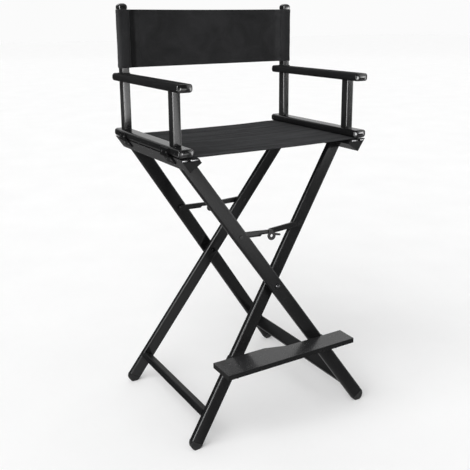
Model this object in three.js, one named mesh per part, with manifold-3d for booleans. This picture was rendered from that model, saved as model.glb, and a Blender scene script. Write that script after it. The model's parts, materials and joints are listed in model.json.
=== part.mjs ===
// Tall folding director chair: crossed aluminium legs, seat rails with keder slots,
// hinged arm frames, folding braces, a lift-off footrest and two fabric slings.
// Millimetres, +Z up, +X to the sitter's left as seen from the front, -Y is the front.
import * as THREE from 'three';
import { mergeVertices } from 'three/addons/utils/BufferGeometryUtils.js';
import Module from 'manifold-3d';

const wasm = await Module();
wasm.setup();

// ---------- driving dimensions ----------
const Y_SHIFT = 18.0;            // moves the model so that the origin is under the middle of its box
const LEAN = 34.3 * Math.PI / 180; // leg inclination from vertical, chair open
const S = Math.sin(LEAN), C = Math.cos(LEAN);
const SPLAY = 0.0965;            // fore-aft drift per unit of leg length
const PIVOT_Z = 400;
const LEG_W = 39, LEG_T = 16, LEG_R = 4.5, LEG_WALL = 2.0;
const OUTER_Y = 203.5;           // outer face of an outer leg at the pivot height
const LEG_GAP = 14.8;            // clear space between an outer and an inner leg
const INNER_Y = OUTER_Y - LEG_T - LEG_GAP;
const LEG_TOP = 435;             // pivot to the underside of the seat rail, along the leg
const FOOT_Z = 18.4;             // height of the centre of a rounded foot
const LEG_BOT = (PIVOT_Z - FOOT_Z) / C;
const BOLT_R = 3.9, BOLT_HOLE = 4.4;

const RAIL_TOP = 782.5, RAIL_HALF = 208, RAIL_END = 211;
const SLOT_X = 264, SLOT_W = 4, SLOT_Z = 776, SLOT_R = 4.6, ROD_R = 3.4;

const ARM_X = 268.7, ARM_W = 42, ARM_H = 21, ARM_R = 8;
const ARM_LOW = 785.0, ARM_REST = 940.3;
const ARM_F = -205.2, ARM_B = 200.4, CAP_T = 5.6;
const POST_W = 23, POST_D = 25, POST_R = 3;
const FRONT_POST_Y = -148.8, REAR_POST_Y = 163;
const POST_TOP = 1134, TOTAL_H = 1150;

const HINGE_X = 290.2, HINGE_Z = 783.3, HINGE_R = 3.3, HINGE_L = 46;
const HINGE_YF = -133, HINGE_YR = 140;

const PIN_D = 184, LINK_MID_Z = 547, LINK_T = 5, LINK_CLEAR = 1.4;

const TREAD_Z = 230, TREAD_X = 204, TREAD_F = -286, TREAD_RL = -206, TREAD_RR = -226, TREAD_SKIRT = 14, TREAD_T = 2.5;

const CROSS_Z = 78, CROSS_T = 18;

const SEAT_Z = 783.0, SEAT_T = 1.6, SEAT_F = -205, SEAT_B = 203;
const BACK_Z0 = 977, BACK_Z1 = 1133.5, BACK_T = 2.4, SLEEVE = 1.6, SLEEVE_GAP = 0.5, SEAM_X = 218;

// ---------- materials ----------
const col = (hex, rough, metal) => new THREE.MeshStandardMaterial({ color: hex, roughness: rough, metalness: metal, flatShading: true, side: THREE.FrontSide });
const M = {
  frame: () => col(0x1b1b1d, 0.38, 0.55),
  plastic: () => col(0x0f0f10, 0.35, 0.0),
  steel: () => col(0x2a2a2c, 0.3, 0.8),
  brace: () => col(0x202022, 0.35, 0.7),
  tread: () => col(0x2a2a2b, 0.45, 0.4),
  seat: () => col(0x2c2c2e, 0.9, 0.0),
  back: () => col(0x262628, 0.92, 0.0),
};

// ---------- geometry helpers ----------
function clean(geo) {
  const g = geo.clone();
  for (const k of Object.keys(g.attributes)) if (k !== 'position') g.deleteAttribute(k);
  return mergeVertices(g, 1e-4);
}
function apply(geo, m) {
  const g = clean(geo);
  g.applyMatrix4(m);
  if (m.determinant() < 0) {
    const idx = g.index.array;
    for (let i = 0; i < idx.length; i += 3) { const t = idx[i]; idx[i] = idx[i + 1]; idx[i + 1] = t; }
  }
  return g;
}
// columns: images of the local x, y, z axes and the origin
function basis(ex, ey, ez, o) {
  return new THREE.Matrix4().set(
    ex[0], ey[0], ez[0], o[0],
    ex[1], ey[1], ez[1], o[1],
    ex[2], ey[2], ez[2], o[2],
    0, 0, 0, 1);
}
function toSolid(geo) {
  const g = clean(geo);
  return new wasm.Manifold(new wasm.Mesh({
    numProp: 3,
    vertProperties: new Float32Array(g.attributes.position.array),
    triVerts: new Uint32Array(g.index.array),
  }));
}
function toGeo(solid) {
  const mesh = solid.getMesh();
  const g = new THREE.BufferGeometry();
  const v = mesh.vertProperties, n = mesh.numProp, out = new Float32Array(v.length / n * 3);
  for (let i = 0; i < v.length / n; i++) { out[3 * i] = v[n * i]; out[3 * i + 1] = v[n * i + 1]; out[3 * i + 2] = v[n * i + 2]; }
  g.setAttribute('position', new THREE.BufferAttribute(out, 3));
  g.setIndex(new THREE.BufferAttribute(new Uint32Array(mesh.triVerts), 1));
  return g;
}
const cut = (a, ...bs) => toGeo(bs.reduce((s, b) => s.subtract(toSolid(b)), toSolid(a)));
const join = (a, ...bs) => toGeo(bs.reduce((s, b) => s.add(toSolid(b)), toSolid(a)));

// points of a rounded rectangle, counter-clockwise
function rrPts(w, h, r, seg) {
  const pts = [];
  const cs = [[w / 2 - r, h / 2 - r, 0], [-w / 2 + r, h / 2 - r, 1], [-w / 2 + r, -h / 2 + r, 2], [w / 2 - r, -h / 2 + r, 3]];
  for (const [cx, cy, q] of cs)
    for (let i = 0; i <= seg; i++) {
      const a = (q + i / seg) * Math.PI / 2;
      pts.push([cx + r * Math.cos(a), cy + r * Math.sin(a)]);
    }
  return pts;
}
const circle = (r, n, cx = 0, cy = 0) => Array.from({ length: n }, (_, i) => [cx + r * Math.cos(2 * Math.PI * i / n), cy + r * Math.sin(2 * Math.PI * i / n)]);
const vec = (pts) => pts.map(([x, y]) => new THREE.Vector2(x, y));
function prism(outer, holes, depth) {
  const sh = new THREE.Shape(vec(outer));
  for (const h of holes) sh.holes.push(new THREE.Path(vec(h).reverse()));
  return new THREE.ExtrudeGeometry(sh, { depth, bevelEnabled: false, steps: 1 });
}
// a prism whose outline lies in XZ, from y0 to y1
const prismY = (outer, holes, y0, y1) => apply(prism(outer, holes, y1 - y0), basis([1, 0, 0], [0, 0, 1], [0, -1, 0], [0, y1, 0]));
// a prism whose outline lies in XY, from z0 to z1
const prismZ = (outer, holes, z0, z1) => apply(prism(outer, holes, z1 - z0), basis([1, 0, 0], [0, 1, 0], [0, 0, 1], [0, 0, z0]));
// closed solid through rings of equal point counts: rings = [[points2d, height], ...], in local XY, stacked on local Z
function loft(rings) {
  const n = rings[0][0].length, pos = [], idx = [];
  for (const [pts, h] of rings) for (const [x, y] of pts) pos.push(x, y, h);
  for (let k = 0; k + 1 < rings.length; k++)
    for (let i = 0; i < n; i++) {
      const a = k * n + i, b = k * n + (i + 1) % n, c = a + n, d = b + n;
      idx.push(a, b, d, a, d, c);
    }
  for (let i = 1; i + 1 < n; i++) idx.push(0, i + 1, i);
  const t = (rings.length - 1) * n;
  for (let i = 1; i + 1 < n; i++) idx.push(t, t + i, t + i + 1);
  const g = new THREE.BufferGeometry();
  g.setAttribute('position', new THREE.Float32BufferAttribute(pos, 3));
  g.setIndex(idx);
  return g;
}
// a cylinder from point a, along direction d, of length len
function rod(a, d, r, len, n = 16) {
  const v = new THREE.Vector3(...d).normalize();
  const g = new THREE.CylinderGeometry(r, r, len, n);
  const m = new THREE.Matrix4().makeRotationFromQuaternion(new THREE.Quaternion().setFromUnitVectors(new THREE.Vector3(0, 1, 0), v));
  m.setPosition(a[0] + v.x * len / 2, a[1] + v.y * len / 2, a[2] + v.z * len / 2);
  return apply(g, m);
}
const box = (x0, x1, y0, y1, z0, z1) => apply(new THREE.BoxGeometry(x1 - x0, y1 - y0, z1 - z0), new THREE.Matrix4().makeTranslation((x0 + x1) / 2, (y0 + y1) / 2, (z0 + z1) / 2));

function mesh(name, geo, mat) {
  const g = clean(geo);
  const m = new THREE.Mesh(g, mat);
  m.name = name;
  return m;
}

// ---------- leg frames ----------
// side +1: outer frame (tops at -X). side -1: inner frame (tops at +X). fr -1: front, +1: rear.
// Local leg coordinates: a across the leg, b along Y from the mid-plane of the leg, t along the leg, up from the pivot.
function legBasis(side, fr, faceY) {
  const mid = faceY - LEG_T / 2;             // distance of the leg's mid-plane from the centre, at the pivot
  return basis([C, 0, side * S], [0, 1, 0], [-side * S, -fr * SPLAY, C], [0, fr * mid, 0]);
}
// unit normal of a leg's faces, pointing away from the chair's middle
function legNormal(side, fr) {
  return new THREE.Vector3(-side * SPLAY * S, fr, SPLAY * C).normalize();
}
function legGeo(side, fr, faceY) {
  const outer = rrPts(LEG_W, LEG_T, LEG_R, 3), inner = rrPts(LEG_W - 2 * LEG_WALL, LEG_T - 2 * LEG_WALL, 2.6, 1);
  const raw = prism(outer, [inner], LEG_TOP - 0.3 + LEG_BOT);
  const m = legBasis(side, fr, faceY);
  const down = new THREE.Matrix4().makeTranslation(0, 0, -LEG_BOT);
  let g = apply(raw, m.clone().multiply(down));
  const far = rod([0, -300, 0], [0, 1, 0], BOLT_HOLE, 600, 24);
  const pin = pinPoint(side, fr, faceY);
  const nrm = legNormal(side, fr);
  const pinHole = rod([pin[0] - nrm.x * 30, pin[1] - nrm.y * 30, pin[2] - nrm.z * 30], [nrm.x, nrm.y, nrm.z], 3.0, 60, 16);
  return cut(g, far, pinHole);
}
// centre of the brace rivet in the leg's mid-plane, pivot coordinates
function pinPoint(side, fr, faceY) {
  const mid = faceY - LEG_T / 2;
  return [-side * S * PIN_D, fr * (mid - SPLAY * PIN_D), C * PIN_D];
}
function plugGeo(side, fr, faceY) {
  // half-round foot below the cut end of the tube, with a stub inside the tube
  const pts = [];
  const R = LEG_W / 2, N = 14;
  for (let i = 0; i <= N; i++) { const a = Math.PI + Math.PI * i / N; pts.push([R * Math.cos(a), R * Math.sin(a)]); }
  const disc = apply(prism(pts, [], LEG_T), basis([1, 0, 0], [0, 0, 1], [0, -1, 0], [0, LEG_T / 2, -0.35]));
  const stub = apply(prism(rrPts(LEG_W - 2 * LEG_WALL - 0.7, LEG_T - 2 * LEG_WALL - 0.7, 2.2, 1), [], 16), basis([1, 0, 0], [0, 1, 0], [0, 0, 1], [0, 0, -1.5]));
  const both = join(disc, stub);
  const m = legBasis(side, fr, faceY).multiply(new THREE.Matrix4().makeTranslation(0, 0, -LEG_BOT));
  const g = apply(both, m);
  return cut(g, box(-400, 400, -400, 400, -PIVOT_Z - 60, -PIVOT_Z));   // flat sole on the floor
}
function crossRail(side, faceY) {
  // runs between the front and the rear leg of one frame, near the floor
  const t = -(PIVOT_Z - CROSS_Z) / C;
  const half = (d) => faceY - LEG_T - SPLAY * d - 0.3;  // d: height along the leg
  const g = clean(prism(rrPts(LEG_W - 1, CROSS_T, 4, 3), [rrPts(LEG_W - 5, CROSS_T - 4, 2, 1)], 1));
  const p = g.attributes.position;
  const out = new Float32Array(p.count * 3);
  for (let i = 0; i < p.count; i++) {
    const a = p.getX(i), d = t + p.getY(i), end = p.getZ(i) > 0.5 ? -1 : 1;
    out[3 * i] = C * a - side * S * d;
    out[3 * i + 1] = end * half(d);
    out[3 * i + 2] = side * S * a + C * d;
  }
  g.setAttribute('position', new THREE.BufferAttribute(out, 3));
  const e1 = [C, side * S], e2 = [-side * S, C];
  const det = -(e1[0] * e2[1] - e1[1] * e2[0]) * -1; // local z maps to -Y: keeps the turning sense
  if (det < 0) { const idx = g.index.array; for (let i = 0; i < idx.length; i += 3) { const q = idx[i]; idx[i] = idx[i + 1]; idx[i + 1] = q; } }
  return g;
}
// outline of a seat rail in XZ for the left side (x < 0)
const LOW_OUT = [-S * LEG_TOP - C * LEG_W / 2, PIVOT_Z + C * LEG_TOP - S * LEG_W / 2];
const LOW_IN = [-S * LEG_TOP + C * LEG_W / 2, PIVOT_Z + C * LEG_TOP + S * LEG_W / 2];
const tanL = S / C;
const TOP_IN = [LOW_IN[0] - (RAIL_TOP - LOW_IN[1]) * tanL, RAIL_TOP];
const TOP_OUT = [LOW_OUT[0] - (RAIL_TOP - LOW_OUT[1]) * tanL, RAIL_TOP];
function railOutline(slotted) {
  const pts = [LOW_OUT, LOW_IN, TOP_IN];
  if (slotted) {
    const a0 = Math.acos(SLOT_W / 2 / SLOT_R), n = 12;
    pts.push([-SLOT_X + SLOT_W / 2, RAIL_TOP]);
    for (let i = 0; i <= n; i++) {
      const a = a0 - (Math.PI + 2 * a0) * i / n;
      pts.push([-SLOT_X + SLOT_R * Math.cos(a), SLOT_Z + SLOT_R * Math.sin(a)]);
    }
    pts.push([-SLOT_X - SLOT_W / 2, RAIL_TOP]);
  } else {
    pts.push([-SLOT_X + 2.2, RAIL_TOP], [-SLOT_X + 2.2, RAIL_TOP - 7], [-SLOT_X - 2.2, RAIL_TOP - 7], [-SLOT_X - 2.2, RAIL_TOP]);
  }
  pts.push(TOP_OUT);
  return pts;
}
const RAIL_HOLE = [[-260.0, 753.5], [-234.2, 770.9], [-239.5, 778.8], [-256.0, 778.8], [-256.0, 770.5], [-262, 767.6], [-269.5, 768.5]];
const flip = (pts, side) => side > 0 ? pts : pts.map(([x, z]) => [-x, z]).reverse();
const seatRail = (side) => prismY(flip(railOutline(true), side), [flip(RAIL_HOLE, side)], -RAIL_HALF, RAIL_HALF);
const railCap = (side, fr) => fr < 0 ? prismY(flip(railOutline(false), side), [], -RAIL_END, -RAIL_HALF - 0.3) : prismY(flip(railOutline(false), side), [], RAIL_HALF + 0.3, RAIL_END);

// ---------- pivot ----------
function latheY(profile, y0, fr, seg = 16) {
  // profile: [radius, distance outward along fr*Y], on the pivot axis
  const g = new THREE.LatheGeometry(profile.map(([r, h]) => new THREE.Vector2(r, h)), seg);
  const m = fr > 0 ? basis([1, 0, 0], [0, 1, 0], [0, 0, 1], [0, y0, 0]) : basis([1, 0, 0], [0, -1, 0], [0, 0, -1], [0, -y0, 0]);
  return apply(g, m);
}
const boltGeo = (fr) => latheY([[0, -LEG_T * 2 - LEG_GAP - 6.4], [5.4, -LEG_T * 2 - LEG_GAP - 6.4], [6.6, -LEG_T * 2 - LEG_GAP - 5.4], [6.6, -LEG_T * 2 - LEG_GAP - 1.0], [BOLT_R, -LEG_T * 2 - LEG_GAP - 1.0], [BOLT_R, 1.0], [7.6, 1.0], [7.2, 2.6], [5.6, 4.0], [3.0, 4.8], [0, 5.0]], OUTER_Y, fr);
const spacerGeo = (fr) => {
  const a = -LEG_T - 1.0, b = -LEG_T - LEG_GAP + 1.0;
  return latheY([[4.4, b], [8, b], [8, a], [4.4, a], [4.4, b]], OUTER_Y, fr, 20);
};

// ---------- braces ----------
// Each link lies parallel to the faces of the leg that carries it, in the clear space between the legs.
function linkFrame(side, fr) {
  const faceY = side > 0 ? OUTER_Y : INNER_Y;
  const nOut = legNormal(side, fr);                       // away from the chair's middle
  const pin = new THREE.Vector3(...pinPoint(side, fr, faceY));
  // the link lies inward of an outer leg, outward of an inner leg
  const dir = side > 0 ? -1 : 1;
  const base = LEG_T / 2 * Math.abs(nOut.y) + LINK_CLEAR;
  const near = pin.clone().addScaledVector(nOut, dir * base);            // link face next to its leg
  const mid = new THREE.Vector3(0, 0, LINK_MID_Z - PIVOT_Z);
  // project the middle joint into the link's plane along Y
  mid.y = near.y + (-(nOut.x * (mid.x - near.x)) - nOut.z * (mid.z - near.z)) / nOut.y;
  const e1 = mid.clone().sub(near).normalize();
  const e3 = nOut.clone().multiplyScalar(-fr);            // towards the rear for every link... local depth axis
  const up = new THREE.Vector3().crossVectors(e3, e1);
  if (up.z < 0) up.negate();
  return { nOut, pin, near, mid, e1, up, dir, len: mid.distanceTo(near) };
}
function linkGeo(side, fr) {
  const f = linkFrame(side, fr);
  const L = f.len;
  // outline in (along, up), pin at 0, middle joint at L
  const cap = (cx, cy, r, a0, a1, n) => Array.from({ length: n + 1 }, (_, i) => { const a = a0 + (a1 - a0) * i / n; return [cx + r * Math.cos(a), cy + r * Math.sin(a)]; });
  const P = Math.PI;
  let out, hollow, parts = [];
  if (side > 0) {
    out = [...cap(0, 0, 8, P / 2, 3 * P / 2, 8), [L * 0.66, -8], [L * 0.70, -3.5], [L, -3.5], ...cap(L, 2, 5.5, -P / 2, P / 2, 6)];
    hollow = [...cap(7, 0.2, 6, P / 2, 3 * P / 2, 4).map(([x, y]) => [x + 2, y]), [L * 0.64, -5.8], [L * 0.68, -1.6], [L - 9, -1.6], [L - 9, 5.8]];
  } else {
    out = [...cap(0, 0, 8, P / 2, 3 * P / 2, 8), [L, -6.5], ...cap(L, 0.5, 7, -P / 2, P / 2, 6)];
    hollow = [...cap(7, 0, 6, P / 2, 3 * P / 2, 4).map(([x, y]) => [x + 2, y]), [L - 10, -4.8], [L - 10, 5.6]];
  }
  // local depth: 0 at the face next to the leg, LINK_T at the far face
  let g = prism(out, [], LINK_T);
  const openFront = (fr < 0) === (side > 0) ? 0 : 1;       // the channel opens towards the front of the chair on the front brace, to the rear on the rear brace
  const pocket = apply(prism(hollow, [], LINK_T), new THREE.Matrix4().makeTranslation(0, 0, (side > 0 ? -1.6 : 1.6)));
  g = cut(g, pocket);
  if (side > 0) {
    // finger tab with a hole, and a small stop nose
    const tab = apply(prism(circle(12.5, 24, L + 1, -10.5), [circle(4.2, 16, L + 1, -10.5)], 2.4), new THREE.Matrix4().makeTranslation(0, 0, LINK_T - 2.4));
    const nose = apply(prism([[L + 8, -3], [L + 28, -7.5], [L + 29, -11], [L + 26, -12.5], [L + 9, -10]], [], 2.4), new THREE.Matrix4().makeTranslation(0, 0, LINK_T - 2.4));
    g = join(g, tab, nose);
    g = cut(g, apply(prism(circle(4.2, 16, L + 1, -10.5), [], 10), new THREE.Matrix4().makeTranslation(0, 0, -2)));
  }
  // rivet through the leg, with a head on the leg's far face
  const depth = f.nOut.clone().multiplyScalar(f.dir);
  const m = basis(f.e1.toArray(), f.up.toArray(), depth.toArray(), f.near.toArray());
  g = apply(g, m);
  const through = LEG_T * Math.abs(f.nOut.y) + LINK_CLEAR;
  const back = depth.clone().negate();
  const shank = rod(f.near.clone().addScaledVector(depth, 2).toArray(), back.toArray(), 2.5, through + 2 + 1.6, 12);
  const headAt = f.near.clone().addScaledVector(back, through + 0.5);
  const head = rod(headAt.toArray(), back.toArray(), 4.6, 1.6, 16);
  const front = rod(f.near.clone().addScaledVector(depth, LINK_T - 1.8).toArray(), depth.toArray(), 4.2, 2.2, 16);
  return join(g, shank, head, front);
}

// ---------- arm frames ----------
const armTube = (z0, side) => prismY(rrPts(ARM_W, ARM_H, ARM_R, 4).map(([x, z]) => [x, z + z0 + ARM_H / 2]), [rrPts(ARM_W - 4, ARM_H - 4, ARM_R - 2, 2).map(([x, z]) => [x, z + z0 + ARM_H / 2])], ARM_F, ARM_B);
function armCap(z0, fr) {
  const stub = rrPts(ARM_W - 5.4, ARM_H - 5.4, ARM_R - 1.4, 4), a = rrPts(ARM_W, ARM_H, ARM_R, 4);
  const b = rrPts(ARM_W - 1.6, ARM_H - 1.6, ARM_R - 0.8, 4), c = rrPts(ARM_W - 5, ARM_H - 5, ARM_R - 2.5, 4);
  const g = loft([[stub, -12], [stub, 0], [a, 0], [a, CAP_T - 2.4], [b, CAP_T - 0.8], [c, CAP_T]]);
  const z = z0 + ARM_H / 2;
  return fr < 0
    ? apply(g, basis([1, 0, 0], [0, 0, 1], [0, -1, 0], [0, ARM_F - 0.3, z]))
    : apply(g, basis([-1, 0, 0], [0, 0, 1], [0, 1, 0], [0, ARM_B + 0.3, z]));
}
const postTube = (y, z0, z1) => prismZ(rrPts(POST_W, POST_D, POST_R, 2).map(([a, b]) => [a, b + y]), [rrPts(POST_W - 4, POST_D - 4, 1.4, 1).map(([a, b]) => [a, b + y])], z0, z1);
const restHole = () => prismZ(rrPts(POST_W + 0.7, POST_D + 0.7, POST_R + 0.3, 2).map(([a, b]) => [a, b + REAR_POST_Y]), [], ARM_REST - 5, ARM_REST + ARM_H + 5);
const collar = () => prismZ(rrPts(POST_W + 5, POST_D + 5, POST_R + 2.5, 2).map(([a, b]) => [a, b + REAR_POST_Y]), [rrPts(POST_W + 0.8, POST_D + 0.8, POST_R + 0.4, 2).map(([a, b]) => [a, b + REAR_POST_Y])], ARM_REST + ARM_H + 0.3, ARM_REST + ARM_H + 2.3);
function postCap() {
  const r = (k, rr) => rrPts(POST_W + 2 - 2 * k, POST_D + 2 - 2 * k, rr, 3);
  const stub = rrPts(POST_W - 4.8, POST_D - 4.8, 1.2, 3);
  const g = loft([[stub, -14], [stub, 0.3], [r(0, 4), 0.3], [r(0, 4), 7.5], [r(0.9, 3.8), 10.6], [r(2.9, 3.4), 13.2], [r(6, 2.6), 15.2], [r(9.5, 1.2), TOTAL_H - POST_TOP]]);
  return apply(g, new THREE.Matrix4().makeTranslation(0, REAR_POST_Y, POST_TOP));
}

// ---------- arm hinges (left side; the right side is a mirror) ----------
function railLeaf(y) {
  const nx = -C, nz = -S; // outward normal of the rail's outer face
  const ux = -S, uz = C;  // up along that face
  const top = [TOP_OUT[0], TOP_OUT[1]];
  const plate = apply(new THREE.BoxGeometry(2.4, HINGE_L, 20), basis([nx, 0, nz], [0, -1, 0], [ux, 0, uz],
    [top[0] + nx * (0.35 + 1.2) - ux * 13.5, y, top[1] + nz * (0.35 + 1.2) - uz * 13.5]));
  const ears = [];
  for (const [a, b] of [[-HINGE_L / 2, -8], [8, HINGE_L / 2]]) {
    ears.push(rod([-HINGE_X, y + a, HINGE_Z], [0, 1, 0], HINGE_R, b - a, 14));
    // web from the plate up to the knuckle
    const w = apply(new THREE.BoxGeometry(2.4, b - a, 9), basis([nx, 0, nz], [0, -1, 0], [ux, 0, uz],
      [top[0] + nx * 1.9 - ux * 3.2, y + (a + b) / 2, top[1] + nz * 1.9 - uz * 3.2]));
    ears.push(w);
  }
  const body = join(plate, ...ears);
  return cut(body, rod([-HINGE_X, y - 40, HINGE_Z], [0, 1, 0], 1.9, 80, 12), box(-310, -HINGE_X + 8, y - 7.99, y + 7.99, HINGE_Z - 5, HINGE_Z + 8));
}
function armLeaf(y) {
  const x0 = -ARM_X - ARM_W / 2 - 0.35;
  const plate = box(x0 - 2.4, x0, y - HINGE_L / 2, y + HINGE_L / 2, HINGE_Z + 5.2, HINGE_Z + 19);
  const tongue = box(x0 - 2.4, x0, y - 7.4, y + 7.4, HINGE_Z + 0.5, HINGE_Z + 8);
  const knuckle = rod([-HINGE_X, y - 7.4, HINGE_Z], [0, 1, 0], HINGE_R, 14.8, 14);
  const pin = rod([-HINGE_X, y - HINGE_L / 2, HINGE_Z], [0, 1, 0], 1.5, HINGE_L, 12);
  return join(plate, tongue, knuckle, pin);
}
const mirrorX = (g) => apply(g, new THREE.Matrix4().makeScale(-1, 1, 1));

// ---------- footrest ----------
function tread() {
  const o = [[-TREAD_X, TREAD_F], [TREAD_X, TREAD_F], [TREAD_X, TREAD_RR], [20, TREAD_RR], [-43, TREAD_RL], [-TREAD_X, TREAD_RL]];
  const i = [[-TREAD_X + 2, TREAD_F + 2], [TREAD_X - 2, TREAD_F + 2], [TREAD_X - 2, TREAD_RR + 20], [20, TREAD_RR + 40], [-43, TREAD_RL + 20], [-TREAD_X + 2, TREAD_RL + 20]];
  return cut(prismZ(o, [], TREAD_Z - TREAD_SKIRT, TREAD_Z), prismZ(i, [], TREAD_Z - TREAD_SKIRT - 5, TREAD_Z - TREAD_T));
}
// a hook plate that rests on the outer edge of a front leg (side -1: left, on the inner leg; +1: right, on the outer leg)
function hook(side) {
  const faceY = side > 0 ? OUTER_Y : INNER_Y;
  const a0 = LEG_W / 2 + 0.5, t0 = -(PIVOT_Z - 209) / C;
  const yRear = -(faceY - LEG_T + 4 - SPLAY * t0);
  const m = basis([side * C, 0, S], [0, -1, 0], [-S * side, 0, C], [0, 0, PIVOT_Z]);
  // local: x outward from the leg edge, y to the front, z up along the leg
  const y0 = 262, y1 = -yRear;
  const half = 20;
  const plate = apply(new THREE.BoxGeometry(3, y0 - y1, 2 * half), m.clone().multiply(new THREE.Matrix4().makeTranslation(a0 + 1.5, (y0 + y1) / 2, t0 - 6.5)));
  const zTop = TREAD_Z - TREAD_T - 0.4;
  const xe = side * ((a0 + 1.5) * C + (PIVOT_Z - zTop) * tanL + (a0 + 1.5) * S * tanL);
  const fl = box(Math.min(xe - side * 1.0, xe + side * 30), Math.max(xe - side * 1.0, xe + side * 30), -262, -232, zTop - 2.6, zTop);
  const trimmed = cut(plate, box(-400, 400, -400, 400, zTop, zTop + 60));
  return join(trimmed, fl);
}

// ---------- fabric ----------
function seatSling() {
  const x = SLOT_X, h = SEAT_T / 2, z1 = SEAT_Z + SEAT_T;
  return prismY([[-x - h, z1 - SEAT_T - 2.6], [-x + h, z1 - SEAT_T - 2.6], [-x + h, SEAT_Z], [x - h, SEAT_Z], [x - h, z1 - SEAT_T - 2.6], [x + h, z1 - SEAT_T - 2.6], [x + h, z1], [-x - h, z1]], [], SEAT_F, SEAT_B);
}
function backSling() {
  // plan outline: a sleeve round each post, tapering to a flat panel
  const g = SLEEVE_GAP, t = SLEEVE, w = POST_W / 2 + g, d = POST_D / 2 + g, yc = REAR_POST_Y, X = ARM_X;
  const half = BACK_T / 2;
  const right = [[SEAM_X, -half], [X - w - 4, -d - t * 0.6], [X - w + 3, -d - t], [X + w - 2, -d - t], [X + w + t, -d + 2], [X + w + t, d - 2], [X + w - 2, d + t], [X - w + 3, d + t], [X - w - 4, d + t * 0.6], [SEAM_X, half]];
  const left = right.map(([x, y]) => [-x, y]).reverse();
  const outer = [...right, ...left].map(([x, y]) => [x, y + yc]);
  const hole = (s) => rrPts(2 * w, 2 * d, POST_R, 2).map(([x, y]) => [x + s * X, y + yc]);
  return prismZ(outer, [hole(1), hole(-1)], BACK_Z0, BACK_Z1);
}

// ---------- assembly ----------
const chair = new THREE.Group();
chair.name = 'director_chair';
chair.position.set(0, Y_SHIFT, 0);

function legFrame(side, label) {
  const g = new THREE.Group();
  const atPivot = new THREE.Group();
  atPivot.position.set(0, 0, PIVOT_Z);
  const face = side > 0 ? OUTER_Y : INNER_Y;
  atPivot.add(mesh(`front_${label}_leg`, legGeo(side, -1, face), M.frame()));
  atPivot.add(mesh(`rear_${label}_leg`, legGeo(side, 1, face), M.frame()));
  atPivot.add(mesh(`front_${label}_foot`, plugGeo(side, -1, face), M.plastic()));
  atPivot.add(mesh(`rear_${label}_foot`, plugGeo(side, 1, face), M.plastic()));
  atPivot.add(mesh(`${label}_cross_rail`, crossRail(side, face), M.frame()));
  g.add(atPivot);
  const where = side > 0 ? 'left' : 'right';
  g.add(mesh(`${where}_seat_rail`, seatRail(side), M.frame()));
  g.add(mesh(`${where}_seat_rail_front_cap`, railCap(side, -1), M.plastic()));
  g.add(mesh(`${where}_seat_rail_rear_cap`, railCap(side, 1), M.plastic()));
  return g;
}
const outerFrame = legFrame(1, 'outer');
const innerFrame = legFrame(-1, 'inner');
const pivot = new THREE.Group();
pivot.position.set(0, 0, PIVOT_Z);
pivot.add(mesh('front_pivot_bolt', boltGeo(-1), M.steel()));
pivot.add(mesh('rear_pivot_bolt', boltGeo(1), M.steel()));
pivot.add(mesh('front_pivot_spacer', spacerGeo(-1), M.plastic()));
pivot.add(mesh('rear_pivot_spacer', spacerGeo(1), M.plastic()));
chair.add(outerFrame, innerFrame, pivot);

const braces = new THREE.Group();
braces.position.set(0, 0, PIVOT_Z);
braces.add(mesh('front_brace_left', linkGeo(1, -1), M.brace()));
braces.add(mesh('front_brace_right', linkGeo(-1, -1), M.brace()));
braces.add(mesh('rear_brace_left', linkGeo(1, 1), M.brace()));
braces.add(mesh('rear_brace_right', linkGeo(-1, 1), M.brace()));
chair.add(braces);

function armFrame(where, sgn) {
  const g = new THREE.Group();
  g.position.set(sgn * ARM_X, 0, 0);
  g.add(mesh(`${where}_arm_lower_rail`, armTube(ARM_LOW), M.frame()));
  g.add(mesh(`${where}_arm_lower_front_cap`, armCap(ARM_LOW, -1), M.plastic()));
  g.add(mesh(`${where}_arm_lower_rear_cap`, armCap(ARM_LOW, 1), M.plastic()));
  g.add(mesh(`${where}_front_post`, postTube(FRONT_POST_Y, ARM_LOW + ARM_H + 0.3, ARM_REST - 0.3), M.frame()));
  g.add(mesh(`${where}_rear_post`, postTube(REAR_POST_Y, ARM_LOW + ARM_H + 0.3, POST_TOP), M.frame()));
  g.add(mesh(`${where}_armrest`, cut(armTube(ARM_REST), restHole()), M.frame()));
  g.add(mesh(`${where}_armrest_front_cap`, armCap(ARM_REST, -1), M.plastic()));
  g.add(mesh(`${where}_armrest_rear_cap`, armCap(ARM_REST, 1), M.plastic()));
  g.add(mesh(`${where}_post_collar`, collar(), M.plastic()));
  g.add(mesh(`${where}_post_cap`, postCap(), M.plastic()));
  return g;
}
chair.add(armFrame('left', -1), armFrame('right', 1));

const hinges = new THREE.Group();
for (const [w, y] of [['front', HINGE_YF], ['rear', HINGE_YR]]) {
  hinges.add(mesh(`left_${w}_hinge_rail_leaf`, railLeaf(y), M.brace()));
  hinges.add(mesh(`left_${w}_hinge_arm_leaf`, armLeaf(y), M.brace()));
  hinges.add(mesh(`right_${w}_hinge_rail_leaf`, mirrorX(railLeaf(y)), M.brace()));
  hinges.add(mesh(`right_${w}_hinge_arm_leaf`, mirrorX(armLeaf(y)), M.brace()));
}
chair.add(hinges);

const footrest = new THREE.Group();
footrest.add(mesh('footrest_tread', tread(), M.tread()));
footrest.add(mesh('footrest_left_hook', hook(-1), M.brace()));
footrest.add(mesh('footrest_right_hook', hook(1), M.brace()));
chair.add(footrest);

const slings = new THREE.Group();
slings.add(mesh('seat_sling', seatSling(), M.seat()));
slings.add(mesh('left_seat_rod', rod([-SLOT_X, -206, SLOT_Z], [0, 1, 0], ROD_R, 412, 12), M.plastic()));
slings.add(mesh('right_seat_rod', rod([SLOT_X, -206, SLOT_Z], [0, 1, 0], ROD_R, 412, 12), M.plastic()));
slings.add(mesh('back_sling', backSling(), M.back()));
chair.add(slings);

export default chair;
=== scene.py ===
import bpy
import json
import math
from mathutils import Matrix, Vector, noise


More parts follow.
